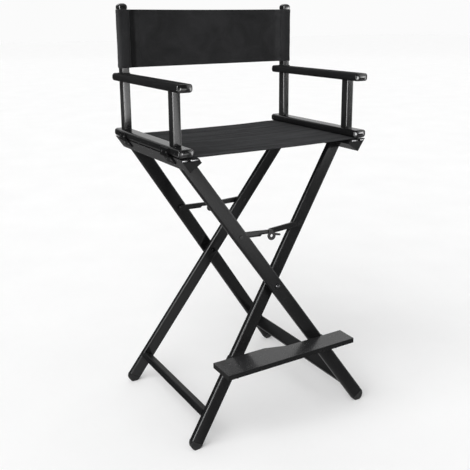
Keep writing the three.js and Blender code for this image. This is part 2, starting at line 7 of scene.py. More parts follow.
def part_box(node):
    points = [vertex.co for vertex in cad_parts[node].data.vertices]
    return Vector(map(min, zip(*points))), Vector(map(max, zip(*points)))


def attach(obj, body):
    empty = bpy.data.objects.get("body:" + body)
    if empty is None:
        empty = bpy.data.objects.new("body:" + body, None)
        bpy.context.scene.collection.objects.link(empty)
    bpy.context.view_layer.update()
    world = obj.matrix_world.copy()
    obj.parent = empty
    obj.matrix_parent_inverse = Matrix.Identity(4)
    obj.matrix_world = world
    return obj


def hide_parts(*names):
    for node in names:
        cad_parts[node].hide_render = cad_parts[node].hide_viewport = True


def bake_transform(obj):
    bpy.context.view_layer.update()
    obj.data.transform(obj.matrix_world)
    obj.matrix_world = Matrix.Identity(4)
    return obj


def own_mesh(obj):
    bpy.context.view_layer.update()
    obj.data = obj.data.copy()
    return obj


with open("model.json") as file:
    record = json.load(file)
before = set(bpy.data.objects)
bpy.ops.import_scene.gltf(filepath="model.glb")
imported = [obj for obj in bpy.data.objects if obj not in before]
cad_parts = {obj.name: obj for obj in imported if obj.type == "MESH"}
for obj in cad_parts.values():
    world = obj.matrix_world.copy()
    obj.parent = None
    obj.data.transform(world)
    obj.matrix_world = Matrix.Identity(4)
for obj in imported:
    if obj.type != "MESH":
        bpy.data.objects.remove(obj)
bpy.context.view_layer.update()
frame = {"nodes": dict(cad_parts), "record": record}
N = frame["nodes"]
YS = 0.018  # the pivot plane of the chair in the shared frame

# ------------------------------------------------------------------ nodes helpers


class Mat:
    """A small helper that builds one procedural Principled material."""

    def __init__(self, name, color, rough, metallic=0.0, spec=0.5, ior=1.45):
        self.m = bpy.data.materials.new(name)
        self.m.use_nodes = True
        self.t = self.m.node_tree
        self.t.nodes.clear()
        self.out = self.t.nodes.new("ShaderNodeOutputMaterial")
        self.b = self.t.nodes.new("ShaderNodeBsdfPrincipled")
        self.t.links.new(self.b.outputs[0], self.out.inputs[0])
        self.b.inputs["Base Color"].default_value = (*color, 1)
        self.b.inputs["Roughness"].default_value = rough
        self.b.inputs["Metallic"].default_value = metallic
        self.b.inputs["Specular IOR Level"].default_value = spec
        self.b.inputs["IOR"].default_value = ior
        self.m.diffuse_color = (*color, 1)
        self.color = color
        self.rough = rough
        self.coord = self.new("ShaderNodeTexCoord")

    def new(self, kind, **props):
        n = self.t.nodes.new(kind)
        for k, v in props.items():
            setattr(n, k, v)
        return n

    def link(self, a, b):
        self.t.links.new(a, b)

    def mapped(self, scale=(1, 1, 1), rot=(0, 0, 0), loc=(0, 0, 0)):
        m = self.new("ShaderNodeMapping")
        m.inputs["Scale"].default_value = scale
        m.inputs["Rotation"].default_value = rot
        m.inputs["Location"].default_value = loc
        self.link(self.coord.outputs["Object"], m.inputs["Vector"])
        return m.outputs[0]

    def noise(self, scale, detail=3.0, rough=0.5, vec=None, distortion=0.0):
        n = self.new("ShaderNodeTexNoise")
        n.inputs["Scale"].default_value = scale
        n.inputs["Detail"].default_value = detail
        n.inputs["Roughness"].default_value = rough
        n.inputs["Distortion"].default_value = distortion
        self.link(vec if vec is not None else self.coord.outputs["Object"], n.inputs["Vector"])
        return n.outputs[0]

    def wave(self, scale, axis, vec=None, profile="SIN", distortion=0.0, dscale=1.0):
        n = self.new("ShaderNodeTexWave", wave_type="BANDS", bands_direction=axis, wave_profile=profile)
        n.inputs["Scale"].default_value = scale
        n.inputs["Distortion"].default_value = distortion
        n.inputs["Detail Scale"].default_value = dscale
        self.link(vec if vec is not None else self.coord.outputs["Object"], n.inputs["Vector"])
        return n.outputs["Fac"]

    def math(self, op, a, b=None, clamp=False):
        n = self.new("ShaderNodeMath", operation=op)
        n.use_clamp = clamp
        for i, v in enumerate((a, b)):
            if v is None:
                continue
            if isinstance(v, (int, float)):
                n.inputs[i].default_value = v
            else:
                self.link(v, n.inputs[i])
        return n.outputs[0]

    def span(self, fac, lo, hi, a=0.0, b=1.0):
        n = self.new("ShaderNodeMapRange")
        n.inputs["From Min"].default_value = a
        n.inputs["From Max"].default_value = b
        n.inputs["To Min"].default_value = lo
        n.inputs["To Max"].default_value = hi
        self.link(fac, n.inputs["Value"])
        return n.outputs[0]

    def ramp(self, fac, stops):
        n = self.new("ShaderNodeValToRGB")
        e = n.color_ramp.elements
        while len(e) < len(stops):
            e.new(0.5)
        for k, (p, c) in enumerate(stops):
            e[k].position = p
            e[k].color = (*c, 1) if len(c) == 3 else c
        self.link(fac, n.inputs[0])
        return n.outputs[0]

    def base(self, sock):
        self.link(sock, self.b.inputs["Base Color"])

    def roughness(self, sock):
        self.link(sock, self.b.inputs["Roughness"])

    def bump(self, height, strength, distance, normal=None):
        n = self.new("ShaderNodeBump")
        n.inputs["Strength"].default_value = strength
        n.inputs["Distance"].default_value = distance
        self.link(height, n.inputs["Height"])
        if normal is not None:
            self.link(normal, n.inputs["Normal"])
        return n.outputs[0]

    def bevel(self, radius):
        n = self.new("ShaderNodeBevel")
        n.samples = 4
        n.inputs["Radius"].default_value = radius
        return n.outputs[0]

    def normal(self, sock):
        self.link(sock, self.b.inputs["Normal"])


def mul(c, k):
    return tuple(min(1.0, v * k) for v in c)


def powder(name, color, rough=0.36, spec=0.5, grain=0.5, edge=0.0006, ior=1.45):
    """Powder-coated tube: fine orange peel, slow roughness drift, faint rubbed marks."""
    m = Mat(name, color, rough, spec=spec, ior=ior)
    slow = m.noise(9, 4, 0.55)
    fine = m.noise(420, 3, 0.6)
    peel = m.noise(1500, 2, 0.5)
    rub = m.noise(34, 6, 0.62, vec=m.mapped((1, 1, 0.25)), distortion=0.4)
    c = m.ramp(slow, [(0.25, mul(color, 0.78)), (0.55, color), (0.8, mul(color, 1.3))])
    wear = m.math("MULTIPLY", m.span(rub, 0, 1, 0.60, 0.78), 0.35, clamp=True)
    mix = m.new("ShaderNodeMixRGB", blend_type="MIX")
    m.link(wear, mix.inputs[0])
    m.link(c, mix.inputs[1])
    mix.inputs[2].default_value = (*mul(color, 2.1), 1)
    m.base(mix.outputs[0])
    r = m.math("ADD", m.span(slow, rough - 0.04, rough + 0.06, 0.25, 0.75), m.span(fine, -0.03, 0.03))
    m.roughness(r)
    h = m.math("ADD", m.math("MULTIPLY", fine, 0.5), peel)
    m.normal(m.bump(h, grain, 0.00012, m.bevel(edge)))
    return m.m


def plastic(name, color, rough=0.45, spec=0.5, coat=0.0, grain=0.5, gscale=900, edge=0.0008):
    """Moulded plastic: fine spark-eroded grain, softened edges, small scuffs."""
    m = Mat(name, color, rough, spec=spec)
    slow = m.noise(30, 4, 0.6)
    fine = m.noise(gscale, 2, 0.55)
    m.base(m.ramp(slow, [(0.3, mul(color, 0.8)), (0.6, color), (0.85, mul(color, 1.35))]))
    m.roughness(m.math("ADD", m.span(slow, rough - 0.06, rough + 0.06, 0.25, 0.75), m.span(fine, -0.03, 0.03)))
    m.normal(m.bump(fine, grain, 0.00015, m.bevel(edge)))
    if coat:
        m.b.inputs["Coat Weight"].default_value = coat
        m.b.inputs["Coat Roughness"].default_value = 0.07
    return m.m


def steel(name, color, rough=0.25, edge=0.0005):
    m = Mat(name, color, rough, metallic=1.0)
    fine = m.noise(260, 4, 0.6)
    slow = m.noise(70, 4, 0.6)
    m.base(m.ramp(slow, [(0.3, mul(color, 0.72)), (0.6, color), (0.85, mul(color, 1.15))]))
    m.roughness(m.span(fine, rough - 0.05, rough + 0.12, 0.3, 0.7))
    m.normal(m.bump(fine, 0.3, 0.0001, m.bevel(edge)))
    return m.m


def bolt_mat(name, head, nut, split, sign):
    """Bright domed head outside the legs and a blackened end inside: the change is where the shank is hidden."""
    m = Mat(name, head, 0.22, metallic=1.0)
    sep = m.new("ShaderNodeSeparateXYZ")
    m.link(m.coord.outputs["Object"], sep.inputs[0])
    side = m.math("GREATER_THAN", m.math("MULTIPLY", sep.outputs[1], sign), split)
    fine = m.noise(260, 4, 0.6)
    mix = m.new("ShaderNodeMixRGB", blend_type="MIX")
    m.link(side, mix.inputs[0])
    m.link(m.ramp(fine, [(0.3, mul(nut, 0.7)), (0.7, nut)]), mix.inputs[1])
    m.link(m.ramp(fine, [(0.3, mul(head, 0.75)), (0.6, head), (0.85, mul(head, 1.15))]), mix.inputs[2])
    m.base(mix.outputs[0])
    m.roughness(m.span(fine, 0.16, 0.36, 0.3, 0.7))
    m.normal(m.bump(fine, 0.3, 0.0001, m.bevel(0.0005)))
    return m.m


def canvas(name, color, thread=0.0011, rough=0.85, axis_v="Z", sheen=0.25, streak=None, spec=0.25, contrast=1.0, mottle=0.35, post_shade_band=None):
    """Woven canvas: warp and weft threads over and under each other, slub variation, a soft sheen."""
    m = Mat(name, color, rough, spec=spec)
    k = 2 * math.pi / thread / 20.0 * 1.0
    # Wave texture bands repeat every 2*pi/20/scale: scale for one period per two threads
    s = math.pi / (10 * thread) / 2
    wob = m.noise(60, 2, 0.5)
    u = m.wave(s, "X", distortion=0.15, dscale=40)
    v = m.wave(s, axis_v, distortion=0.15, dscale=40)
    over = m.math("MULTIPLY", m.math("SUBTRACT", u, 0.5), m.math("SUBTRACT", v, 0.5))
    weave = m.span(over, 0.0, 1.0, -0.25, 0.25)
    slub_u = m.noise(1.0, 3, 0.6, vec=m.mapped((900, 30, 30) if axis_v == "Z" else (900, 30, 30)))
    slub_v = m.noise(1.0, 3, 0.6, vec=m.mapped((30, 30, 900) if axis_v == "Z" else (30, 900, 30)))
    slow = m.noise(5.5, 4, 0.6)
    fuzz = m.noise(1900, 2, 0.6)
    tone = m.math("ADD", m.math("MULTIPLY", weave, 0.35 * contrast), m.math("MULTIPLY", m.math("ADD", slub_u, slub_v), 0.22 * contrast))
    blot = m.noise(13.0, 5, 0.65, distortion=0.6)
    tone = m.math("ADD", tone, m.math("ADD", m.math("MULTIPLY", slow, mottle), m.span(blot, -mottle * 0.5, mottle * 0.5, 0.3, 0.7)))
    tone = m.math("ADD", tone, m.math("MULTIPLY", fuzz, 0.08))
    if streak:
        st = m.noise(1.0, 4, 0.55, vec=m.mapped(streak))
        tone = m.math("ADD", tone, m.span(st, -0.46, 0.46, 0.3, 0.7))
    cloth = m.ramp(tone, [(0.15, mul(color, 0.62)), (0.48, color), (0.95, mul(color, 1.75))])
    if post_shade_band:
        # painted shade in a band beside the left post, where the post shades the panel, and painted light beside the
        # right post, with an uneven edge
        lo, hi, left, right = post_shade_band
        sep = m.new("ShaderNodeSeparateXYZ")
        m.link(m.coord.outputs["Object"], sep.inputs[0])
        away = m.math("ADD", m.math("ABSOLUTE", sep.outputs[0]), m.span(m.noise(24.0, 4, 0.6), -0.003, 0.003, 0.3, 0.7))
        inside = m.math("MULTIPLY", m.span(away, 0.0, 1.0, lo - 0.002, lo + 0.004), m.span(away, 1.0, 0.0, hi - 0.001, hi + 0.0015))
        is_left = m.math("LESS_THAN", sep.outputs[0], 0.0)
        amount = m.math("ADD", m.math("MULTIPLY", is_left, left), m.math("MULTIPLY", m.math("SUBTRACT", 1.0, is_left), right))
        shaded_cloth = m.new("ShaderNodeMixRGB", blend_type="MULTIPLY")
        shaded_cloth.inputs[0].default_value = 1.0
        m.link(cloth, shaded_cloth.inputs[1])
        m.link(m.math("ADD", 1.0, m.math("MULTIPLY", inside, amount)), shaded_cloth.inputs[2])
        cloth = shaded_cloth.outputs[0]
    m.base(cloth)
    h = m.math("ADD", m.math("MULTIPLY", weave, 0.8), m.math("MULTIPLY", m.math("ADD", slub_u, slub_v), 0.35))
    n1 = m.bump(h, 0.55, thread * 0.22)
    n2 = m.bump(wob, 0.25, 0.0004, n1)
    m.normal(n2)
    m.roughness(m.span(slow, rough - 0.05, min(1.0, rough + 0.07), 0.3, 0.7))
    m.b.inputs["Sheen Weight"].default_value = sheen
    m.b.inputs["Sheen Roughness"].default_value = 0.45
    m.b.inputs["Sheen Tint"].default_value = (0.8, 0.82, 0.86, 1)
    return m.m


def tread_mat(name, color):
    """Footrest plate: a glossy coat, with a fine raised diamond pattern on its top only, and painted shade on its skirt
    and underside.
    """
    m = Mat(name, color, 0.16, spec=0.5)
    s = 2 * math.pi / 20 / 0.0050
    d = math.radians(38)
    a = m.wave(s, "X", vec=m.mapped((1, 1, 1), (0, 0, d)), profile="SIN")
    b = m.wave(s, "X", vec=m.mapped((1, 1, 1), (0, 0, -d)), profile="SIN")
    low = m.math("MINIMUM", a, b)
    sep = m.new("ShaderNodeSeparateXYZ")
    m.link(m.coord.outputs["Object"], sep.inputs[0])
    top = m.math("GREATER_THAN", sep.outputs[2], 0.2292)
    pads = m.math("MULTIPLY", m.span(low, 0, 1, 0.16, 0.42), top)
    slow = m.noise(14, 4, 0.6)
    fine = m.noise(900, 2, 0.5)
    rub = m.noise(38, 6, 0.65, distortion=0.5)
    tone = m.math("ADD", m.math("MULTIPLY", pads, 0.40), m.math("MULTIPLY", slow, 0.6))
    up = m.ramp(tone, [(0.1, mul(color, 0.5)), (0.5, color), (0.9, mul(color, 1.7))])
    # painted shade: every face but the top takes a colour far darker than the top's
    mix = m.new("ShaderNodeMixRGB", blend_type="MIX")
    m.link(top, mix.inputs[0])
    m.link(m.ramp(slow, [(0.3, mul(color, 0.12)), (0.7, mul(color, 0.22))]), mix.inputs[1])
    m.link(up, mix.inputs[2])
    wear = m.new("ShaderNodeMixRGB", blend_type="MIX")
    m.link(m.math("MULTIPLY", m.math("MULTIPLY", m.span(rub, 0, 1, 0.58, 0.78), top), 0.4, clamp=True), wear.inputs[0])
    m.link(mix.outputs[0], wear.inputs[1])
    wear.inputs[2].default_value = (*mul(color, 2.0), 1)
    m.base(wear.outputs[0])
    m.roughness(m.math("ADD", m.span(pads, 0.24, 0.13), m.span(rub, -0.02, 0.08, 0.4, 0.8)))
    h = m.math("MULTIPLY", m.math("ADD", pads, m.math("MULTIPLY", fine, 0.06)), top)
    m.normal(m.bump(h, 0.30, 0.0004, m.bevel(0.0006)))
    return m.m


def thread_mat(name, color):
    m = Mat(name, color, 0.7, spec=0.3)
    n = m.noise(2500, 2, 0.5)
    m.base(m.ramp(n, [(0.3, mul(color, 0.7)), (0.6, color), (0.9, mul(color, 1.6))]))
    m.normal(m.bump(n, 0.6, 0.0002))
    return m.m


BLACK = (0.0075, 0.0076, 0.0080)
M = {
    "leg": powder("powder_black_leg", BLACK, 0.15, 0.5, 0.16, 0.0006),
    "rail": powder("powder_black_rail", (0.009, 0.0091, 0.0096), 0.22, 0.5, 0.25, 0.0006),
    "arm": powder("powder_black_arm", (0.0070, 0.0071, 0.0074), 0.15, 1.0, 0.14, 0.0006, ior=1.62),
    "cross": powder("powder_black_cross", (0.0080, 0.0081, 0.0085), 0.34, 0.22, 0.4, 0.0008),
    "arm_rail": powder("powder_black_arm_rail", (0.0066, 0.0067, 0.0070), 0.19, 0.4, 0.2, 0.0006),
    "armrest": powder("powder_black_armrest", (0.009, 0.0091, 0.0094), 0.72, 0.10, 0.8, 0.0014),
    "brace": powder("coat_brace", (0.0050, 0.0050, 0.0053), 0.15, 0.85, 0.2, 0.0007),
    "hinge": powder("coat_hinge", (0.0032, 0.0032, 0.0034), 0.46, 0.2, 1.0, 0.0006),
    "bracket": powder("coat_bracket", (0.012, 0.0122, 0.0126), 0.38, 0.5, 0.5, 0.0005),
    "tread": tread_mat("tread_coat", (0.020, 0.0202, 0.0210)),
    "foot": plastic("foot_plastic", (0.009, 0.0091, 0.0094), 0.52, 0.5, 0.0, 0.6, 700),
    "railcap": plastic("rail_cap_plastic", (0.010, 0.0101, 0.0105), 0.55, 0.25, 0.0, 1.0, 420, 0.0009),
    "cap": plastic("gloss_cap", (0.0045, 0.0046, 0.0048), 0.14, 1.0, 1.0, 0.12, 600, 0.0006),
    "collar": plastic("collar_plastic", (0.006, 0.006, 0.0063), 0.5, 0.4),
    "spacer": plastic("spacer_nylon", (0.006, 0.006, 0.0063), 0.55, 0.4),
    "rod": plastic("keder_rod", (0.012, 0.012, 0.0125), 0.5, 0.4),
    "bolt_front": bolt_mat("bolt_steel_front", (0.10, 0.10, 0.103), (0.012, 0.012, 0.0125), 0.160, -1),
    "bolt_rear": bolt_mat("bolt_steel_rear", (0.15, 0.15, 0.155), (0.012, 0.012, 0.0125), 0.196, 1),
    "rivet": steel("rivet_dark", (0.055, 0.055, 0.057), 0.30),
    "screw": steel("screw_zinc", (0.26, 0.26, 0.265), 0.34),
    "alu": steel("bare_edge", (0.55, 0.55, 0.56), 0.35),
    "seat": canvas("seat_canvas", (0.0200, 0.0202, 0.0209), 0.0012, 0.9, "Y", 0.03, streak=(3.5, 85, 1), spec=0.06),
    # the back canvas has painted shade beside the left post and painted light beside the right post
    "back": canvas("back_canvas", (0.0158, 0.0159, 0.0165), 0.0010, 0.88, "Z", 0.10, spec=0.14, mottle=0.55, post_shade_band=(0.2315, 0.2500, -0.62, 0.30)),
    "thread": thread_mat("stitch_thread", (0.022, 0.022, 0.023)),
}


def cad_material(n):
    if n.endswith("cross_rail"):
        return M["cross"]
    if n.endswith("_leg"):
        return M["leg"]
    if n.endswith("_foot"):
        return M["foot"]
    if n.endswith("seat_rail"):
        return M["rail"]
    if "seat_rail" in n:
        return M["railcap"]
    if n.endswith("seat_rod"):
        return M["rod"]
    if n.endswith("pivot_bolt"):
        return M["bolt_front" if n.startswith("front") else "bolt_rear"]
    if n.endswith("pivot_spacer"):
        return M["spacer"]
    if "brace" in n:
        return M["brace"]
    if n.endswith("_leaf"):
        return M["hinge"]
    if n == "footrest_tread":
        return M["tread"]
    if n.startswith("footrest"):
        return M["bracket"]
    if n.endswith("collar"):
        return M["collar"]
    if n.endswith("_cap"):
        return M["cap"]
    if n.endswith("_armrest"):
        return M["armrest"]
    if n.endswith("_arm_lower_rail"):
        return M["arm_rail"]
    return M["arm"]


def smooth_group(angle):
    """Geometry nodes: joins split corners and shades smooth up to an edge angle."""
    g = bpy.data.node_groups.new("round_shading", "GeometryNodeTree")
    g.interface.new_socket("Geometry", in_out="INPUT", socket_type="NodeSocketGeometry")
    g.interface.new_socket("Geometry", in_out="OUTPUT", socket_type="NodeSocketGeometry")
    i = g.nodes.new("NodeGroupInput")
    o = g.nodes.new("NodeGroupOutput")
    w = g.nodes.new("GeometryNodeMergeByDistance")
    w.inputs["Distance"].default_value = 0.00002
    f = g.nodes.new("GeometryNodeSetShadeSmooth")
    f.domain = "FACE"
    f.inputs["Shade Smooth"].default_value = True
    e = g.nodes.new("GeometryNodeSetShadeSmooth")
    e.domain = "EDGE"
    e.inputs["Shade Smooth"].default_value = False
    a = g.nodes.new("GeometryNodeInputMeshEdgeAngle")
    c = g.nodes.new("FunctionNodeCompare")
    c.data_type = "FLOAT"
    c.operation = "GREATER_THAN"
    c.inputs[1].default_value = angle
    L = g.links.new
    L(i.outputs[0], w.inputs["Geometry"])
    L(w.outputs[0], f.inputs["Geometry"])
    L(f.outputs[0], e.inputs["Geometry"])
    L(a.outputs[0], c.inputs[0])
    L(c.outputs[0], e.inputs["Selection"])
    L(e.outputs[0], o.inputs[0])
    return g


NODE_BODY = {n: b for b, names in frame["record"]["behaviour"]["bodies"].items() for n in names}
ROUND = smooth_group(math.radians(40))
for name, o in N.items():
    if name in ("seat_sling", "back_sling"):
        continue
    o.data.materials.clear()
    o.data.materials.append(cad_material(name))
    mod = o.modifiers.new("round_shading", "NODES")
    mod.node_group = ROUND
    flat = o.modifiers.new("flat_faces", "WEIGHTED_NORMAL")
    flat.mode = "FACE_AREA"
    flat.weight = 95
    flat.keep_sharp = True


# ------------------------------------------------------------------ mesh helpers


def make(name, verts, faces, mat, body=None, smooth=True, mats=None, idx=None):
    me = bpy.data.meshes.new(name)
    me.from_pydata([tuple(v) for v in verts], [], faces)
    me.validate(verbose=False)
    for mm in mats or [mat]:
        me.materials.append(mm)
    if idx:
        me.polygons.foreach_set("material_index", idx)
    me.polygons.foreach_set("use_smooth", [smooth] * len(me.polygons))
    me.update()
    o = bpy.data.objects.new(name, me)
    bpy.context.scene.collection.objects.link(o)
    if body:
        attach(o, body)
    return o


def grid_solid(top, bot, nu, nv):
    """Closed thin solid from two grids of points (lists in u-major order)."""
    verts = list(top) + list(bot)
    off = len(top)
    f = []
    w = nv + 1
    for i in range(nu):
        for j in range(nv):
            a, b, c, d = i * w + j, (i + 1) * w + j, (i + 1) * w + j + 1, i * w + j + 1
            f.append((a, b, c, d))
            f.append((off + d, off + c, off + b, off + a))
    for i in range(nu):
        a, b = i * w, (i + 1) * w
        f.append((off + a, off + b, b, a))
        a, b = i * w + nv, (i + 1) * w + nv
        f.append((a, b, off + b, off + a))
    for j in range(nv):
        a, b = j, j + 1
        f.append((a, b, off + b, off + a))
        a, b = nu * w + j, nu * w + j + 1
        f.append((off + a, off + b, b, a))
    return verts, f


def fixed_normals(o):
    """Turns the faces of a closed mesh outwards."""
    import bmesh

    bm = bmesh.new()
    bm.from_mesh(o.data)
    bmesh.ops.recalc_face_normals(bm, faces=bm.faces)
    bm.to_mesh(o.data)
    bm.free()
    o.data.update()


def stitches(name, paths, body_or_none, mat, pitch=0.0042, length=0.0031, width=0.0007, height=0.00045):
    """Rows of thread stitches: paths is a list of (points, normals)."""
    V, F = [], []
    for pts, nrm in paths:
        acc = [0.0]
        for a, b in zip(pts, pts[1:]):
            acc.append(acc[-1] + (Vector(b) - Vector(a)).length)
        total = acc[-1]
        n = int(total / pitch)

        def at(s):
            s = max(0.0, min(total, s))
            for k in range(len(pts) - 1):
                if acc[k + 1] >= s or k == len(pts) - 2:
                    t = (s - acc[k]) / max(1e-9, acc[k + 1] - acc[k])
                    return Vector(pts[k]).lerp(Vector(pts[k + 1]), t), Vector(nrm[k]).lerp(Vector(nrm[k + 1]), t).normalized()

        for k in range(n):
            c0 = (k + 0.5) * pitch
            ring = []
            for q, (s, hh, ww) in enumerate(((-0.5, -0.25, 0.45), (-0.28, 0.75, 0.95), (0.0, 1.0, 1.0), (0.28, 0.75, 0.95), (0.5, -0.25, 0.45))):
                p, nn = at(c0 + s * length)
                p2, _ = at(c0 + s * length + 0.0002)
                tan = (p2 - p).normalized() if (p2 - p).length > 1e-9 else Vector((1, 0, 0))
                side = tan.cross(nn).normalized()
                base = len(V)
                for ang in range(5):
                    th = math.pi * ang / 4
                    V.append(p + side * (math.cos(th) * width / 2 * ww) + nn * (math.sin(th) * height * hh + (0 if ang in (0, 4) else 0.00004)) - nn * 0.00012 * (ang in (0, 4)))
                ring.append(base)
            for a, b in zip(ring, ring[1:]):
                for j in range(4):
                    F.append((a + j, a + j + 1, b + j + 1, b + j))
                F.append((a + 4, a, b, b + 4))
            F.append(tuple(ring[0] + j for j in range(4, -1, -1)))
            F.append(tuple(ring[-1] + j for j in range(5)))
    return make(name, V, F, mat, body_or_none)


def smoothstep(t):
    t = max(0.0, min(1.0, t))
    return t * t * (3 - 2 * t)


def nz(*p):
    return noise.noise(Vector(p))


# ------------------------------------------------------------------ seat sling
SX, ZM = 0.2640, 0.7838
Y_F, Y_B = -0.205 + YS, 0.203 + YS
HEM = 0.017


def seat_mid(x, y):
    """Height of the middle of the cloth."""
    e = max(0.0, 1 - (abs(x) / 0.243) ** 2)
    mid = 1 - abs((y - (Y_F + Y_B) / 2) / ((Y_B - Y_F) / 2)) ** 2.2
    sag = -(0.0022 + 0.0022 * max(0.0, mid)) * e
    near = math.exp(-max(0.0, 0.243 - abs(x)) / 0.055) * smoothstep((0.247 - abs(x)) / 0.03)
    run = smoothstep((0.246 - abs(x)) / 0.10)
    pull = 0.00045 * math.sin(y * 212 + 2.1 * nz(y * 9, 3.1, 0)) * near
    long = 0.00055 * nz(x * 1.6 + 4, y * 62, 0.3) * run + 0.0003 * nz(x * 3.0, y * 130, 5.3) * run
    wide = 0.0005 * nz(x * 7, y * 7, 2.0) * run
    return ZM + sag + pull + long + wide


def seat_edge(x, back):
    bow = 0.0028 * max(0.0, 1 - (x / 0.25) ** 2) ** 1.0
    rag = 0.0004 * nz(x * 22, 1.7 if back else 6.2, 0)
    return (Y_B - bow + rag) if back else (Y_F + bow + rag)


def build_seat():
    nx, ny = 150, 132
    rows = []
    xs = []
    # path in x: down-turned ends inside the rail slots, flat between
    for k in range(4):
        a = math.pi / 2 * k / 3
        xs.append((-SX - 0.0 + 0.0009 * (1 - math.cos(a)) - 0.0002, -0.0030 + 0.0030 * math.sin(a), math.sin(a)))
    inner = [-SX + 0.0012 + (2 * SX - 0.0024) * i / (nx - 8) for i in range(1, nx - 8)]
    path = [(x, dz, w) for x, dz, w in xs] + [(x, 0.0, 1.0) for x in inner] + [(-x, dz, w) for x, dz, w in reversed(xs)]
    nu = len(path) - 1
    top, bot = [], []
    # y stations: closer at the hems
    vs = []
    for j in range(ny + 1):
        t = j / ny
        vs.append(t)
    for i, (x, dz, w) in enumerate(path):
        yf, yb = seat_edge(x, False), seat_edge(x, True)
        open_x = smoothstep((0.2445 - abs(x)) / 0.010)
        for t in vs:
            # denser near both ends
            s = 0.5 - 0.5 * math.cos(math.pi * t)
            s = 0.55 * s + 0.45 * t
            y = yf + (yb - yf) * s
            d = min(y - yf, yb - y)
            hem = smoothstep((HEM + 0.0012 - d) / 0.0016)
            edge = math.sqrt(max(0.0, 1 - (1 - min(1.0, d / 0.0011)) ** 2))
            th = (0.00062 + hem * (0.00022 + 0.00032 * open_x)) * (0.35 + 0.65 * edge)
            stitch = math.exp(-((d - HEM + 0.0028) / 0.0009) ** 2) * 0.00022 + math.exp(-((d - 0.0035) / 0.0009) ** 2) * 0.0001
            z = seat_mid(x, y) + dz if abs(x) < SX else ZM + dz
            # the last stretch turns down round the rod
            nxv = 0.0 if w > 0.999 else (-1 if x < 0 else 1) * math.cos(math.asin(max(0, min(1, w))))
            nzv = w if w > 0.001 else 0.0
            top.append((x + nxv * th, y, z + (th - stitch) * nzv))
            bot.append((x - nxv * th, y, z - (th - 0.5 * stitch) * nzv))
    v, f = grid_solid(top, bot, nu, ny)
    o = make("seat_cloth", v, f, M["seat"])
    fixed_normals(o)
    # stitch rows on the hems, on the top and under the seat
    rows = []
    for back in (False, True):
        for off in (0.0045, HEM - 0.0030):
            for side in (1, -1):
                pts, nr = [], []
                for i in range(81):
                    x = -0.2425 + 0.485 * i / 80
                    y = seat_edge(x, back) + (-off if back else off)
                    hem = 0.00062 + 0.00054 - 0.00018
                    pts.append((x, y, seat_mid(x, y) + side * hem))
                    nr.append((0, 0, side))
                rows.append((pts, nr))
    s = stitches("seat_hem_stitching", rows, None, M["thread"])
    return o, s


seat, seat_st = build_seat()
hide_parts("seat_sling")
for o in (seat, seat_st):
    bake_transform(o)

# ------------------------------------------------------------------ back sling
BX, BY = 0.2687, 0.163 + YS
BZ0, BZ1 = 0.977, 1.1335
SEAM = 0.218
SPLIT = 0.2505
PW, PD = 0.023 / 2, 0.025 / 2
OFF = 0.00125  # middle of the cloth from the post
CT = 0.00062  # half the cloth's thickness


def wrap_path():
    """Plan path of the cloth round the right post, from the front split to the rear split, as (x, y, nx, ny)."""
    r = 0.0034 + OFF
    x0, x1 = BX - PW - OFF, BX + PW + OFF
    y0, y1 = BY - PD - OFF, BY + PD + OFF
    pts = []

    def arc(cx, cy, a0, a1, n):
        for k in range(n + 1):
            a = a0 + (a1 - a0) * k / n
            pts.append((cx + r * math.cos(a), cy + r * math.sin(a), math.cos(a), math.sin(a)))

    # front face comes in over the inner corner, then outer corners
    fy = y0
    tap = math.atan2((BY - 0.0009) - (fy + 0.0012), SEAM - (x0 + 0.001))
    arc(x0 + r, y0 + r, -math.pi / 2 - 0.72, -math.pi / 2, 6)
    for k in range(1, 5):
        x = x0 + r + (x1 - x0 - 2 * r) * k / 5
        pts.append((x, y0 - 0.0004 * math.sin(math.pi * k / 5), 0, -1))
    arc(x1 - r, y0 + r, -math.pi / 2, 0, 6)
    for k in range(1, 5):
        y = y0 + r + (y1 - y0 - 2 * r) * k / 5
        pts.append((x1 + 0.0003 * math.sin(math.pi * k / 5), y, 1, 0))
    arc(x1 - r, y1 - r, 0, math.pi / 2, 6)
    for k in range(1, 5):
        x = x1 - r - (x1 - x0 - 2 * r) * k / 5
        pts.append((x, y1 + 0.0004 * math.sin(math.pi * k / 5), 0, 1))
    arc(x0 + r, y1 - r, math.pi / 2, math.pi / 2 + 0.72, 6)
    return pts


WRAP = wrap_path()


def fall(t):
    """How the cloth leaves the post: steep at first, then flat at the seam."""
    t = max(0.0, min(1.0, t))
    return 1 - (1 - t) ** 3.6


def split_point(front):
    """Where the sleeve stops and the panel begins."""
    x, y, nx, ny = WRAP[0] if front else WRAP[-1]
    s = -1 if front else 1
    sy = BY + s * 0.0009
    t = (x - SPLIT) / (x - SEAM)
    return SPLIT, y + (sy - y) * fall(t)


def shade_z(z):
    """Hem thickening at height z: (half thickness, groove)."""
    d = min(z - BZ0, BZ1 - z)
    hem = smoothstep((0.0125 - d) / 0.0016)
    edge = math.sqrt(max(0.0, 1 - (1 - min(1.0, d / 0.0010)) ** 2))
    th = (CT + hem * 0.00042) * (0.35 + 0.65 * edge)
    groove = math.exp(-((d - 0.0098) / 0.0008) ** 2) * 0.0002
    return th, groove


def z_stations(n=58):
    out = []
    for j in range(n + 1):
        t = j / n
        s = 0.5 - 0.5 * math.cos(math.pi * t)
        out.append(BZ0 + (BZ1 - BZ0) * (0.5 * s + 0.5 * t))
    return out


ZS = z_stations()


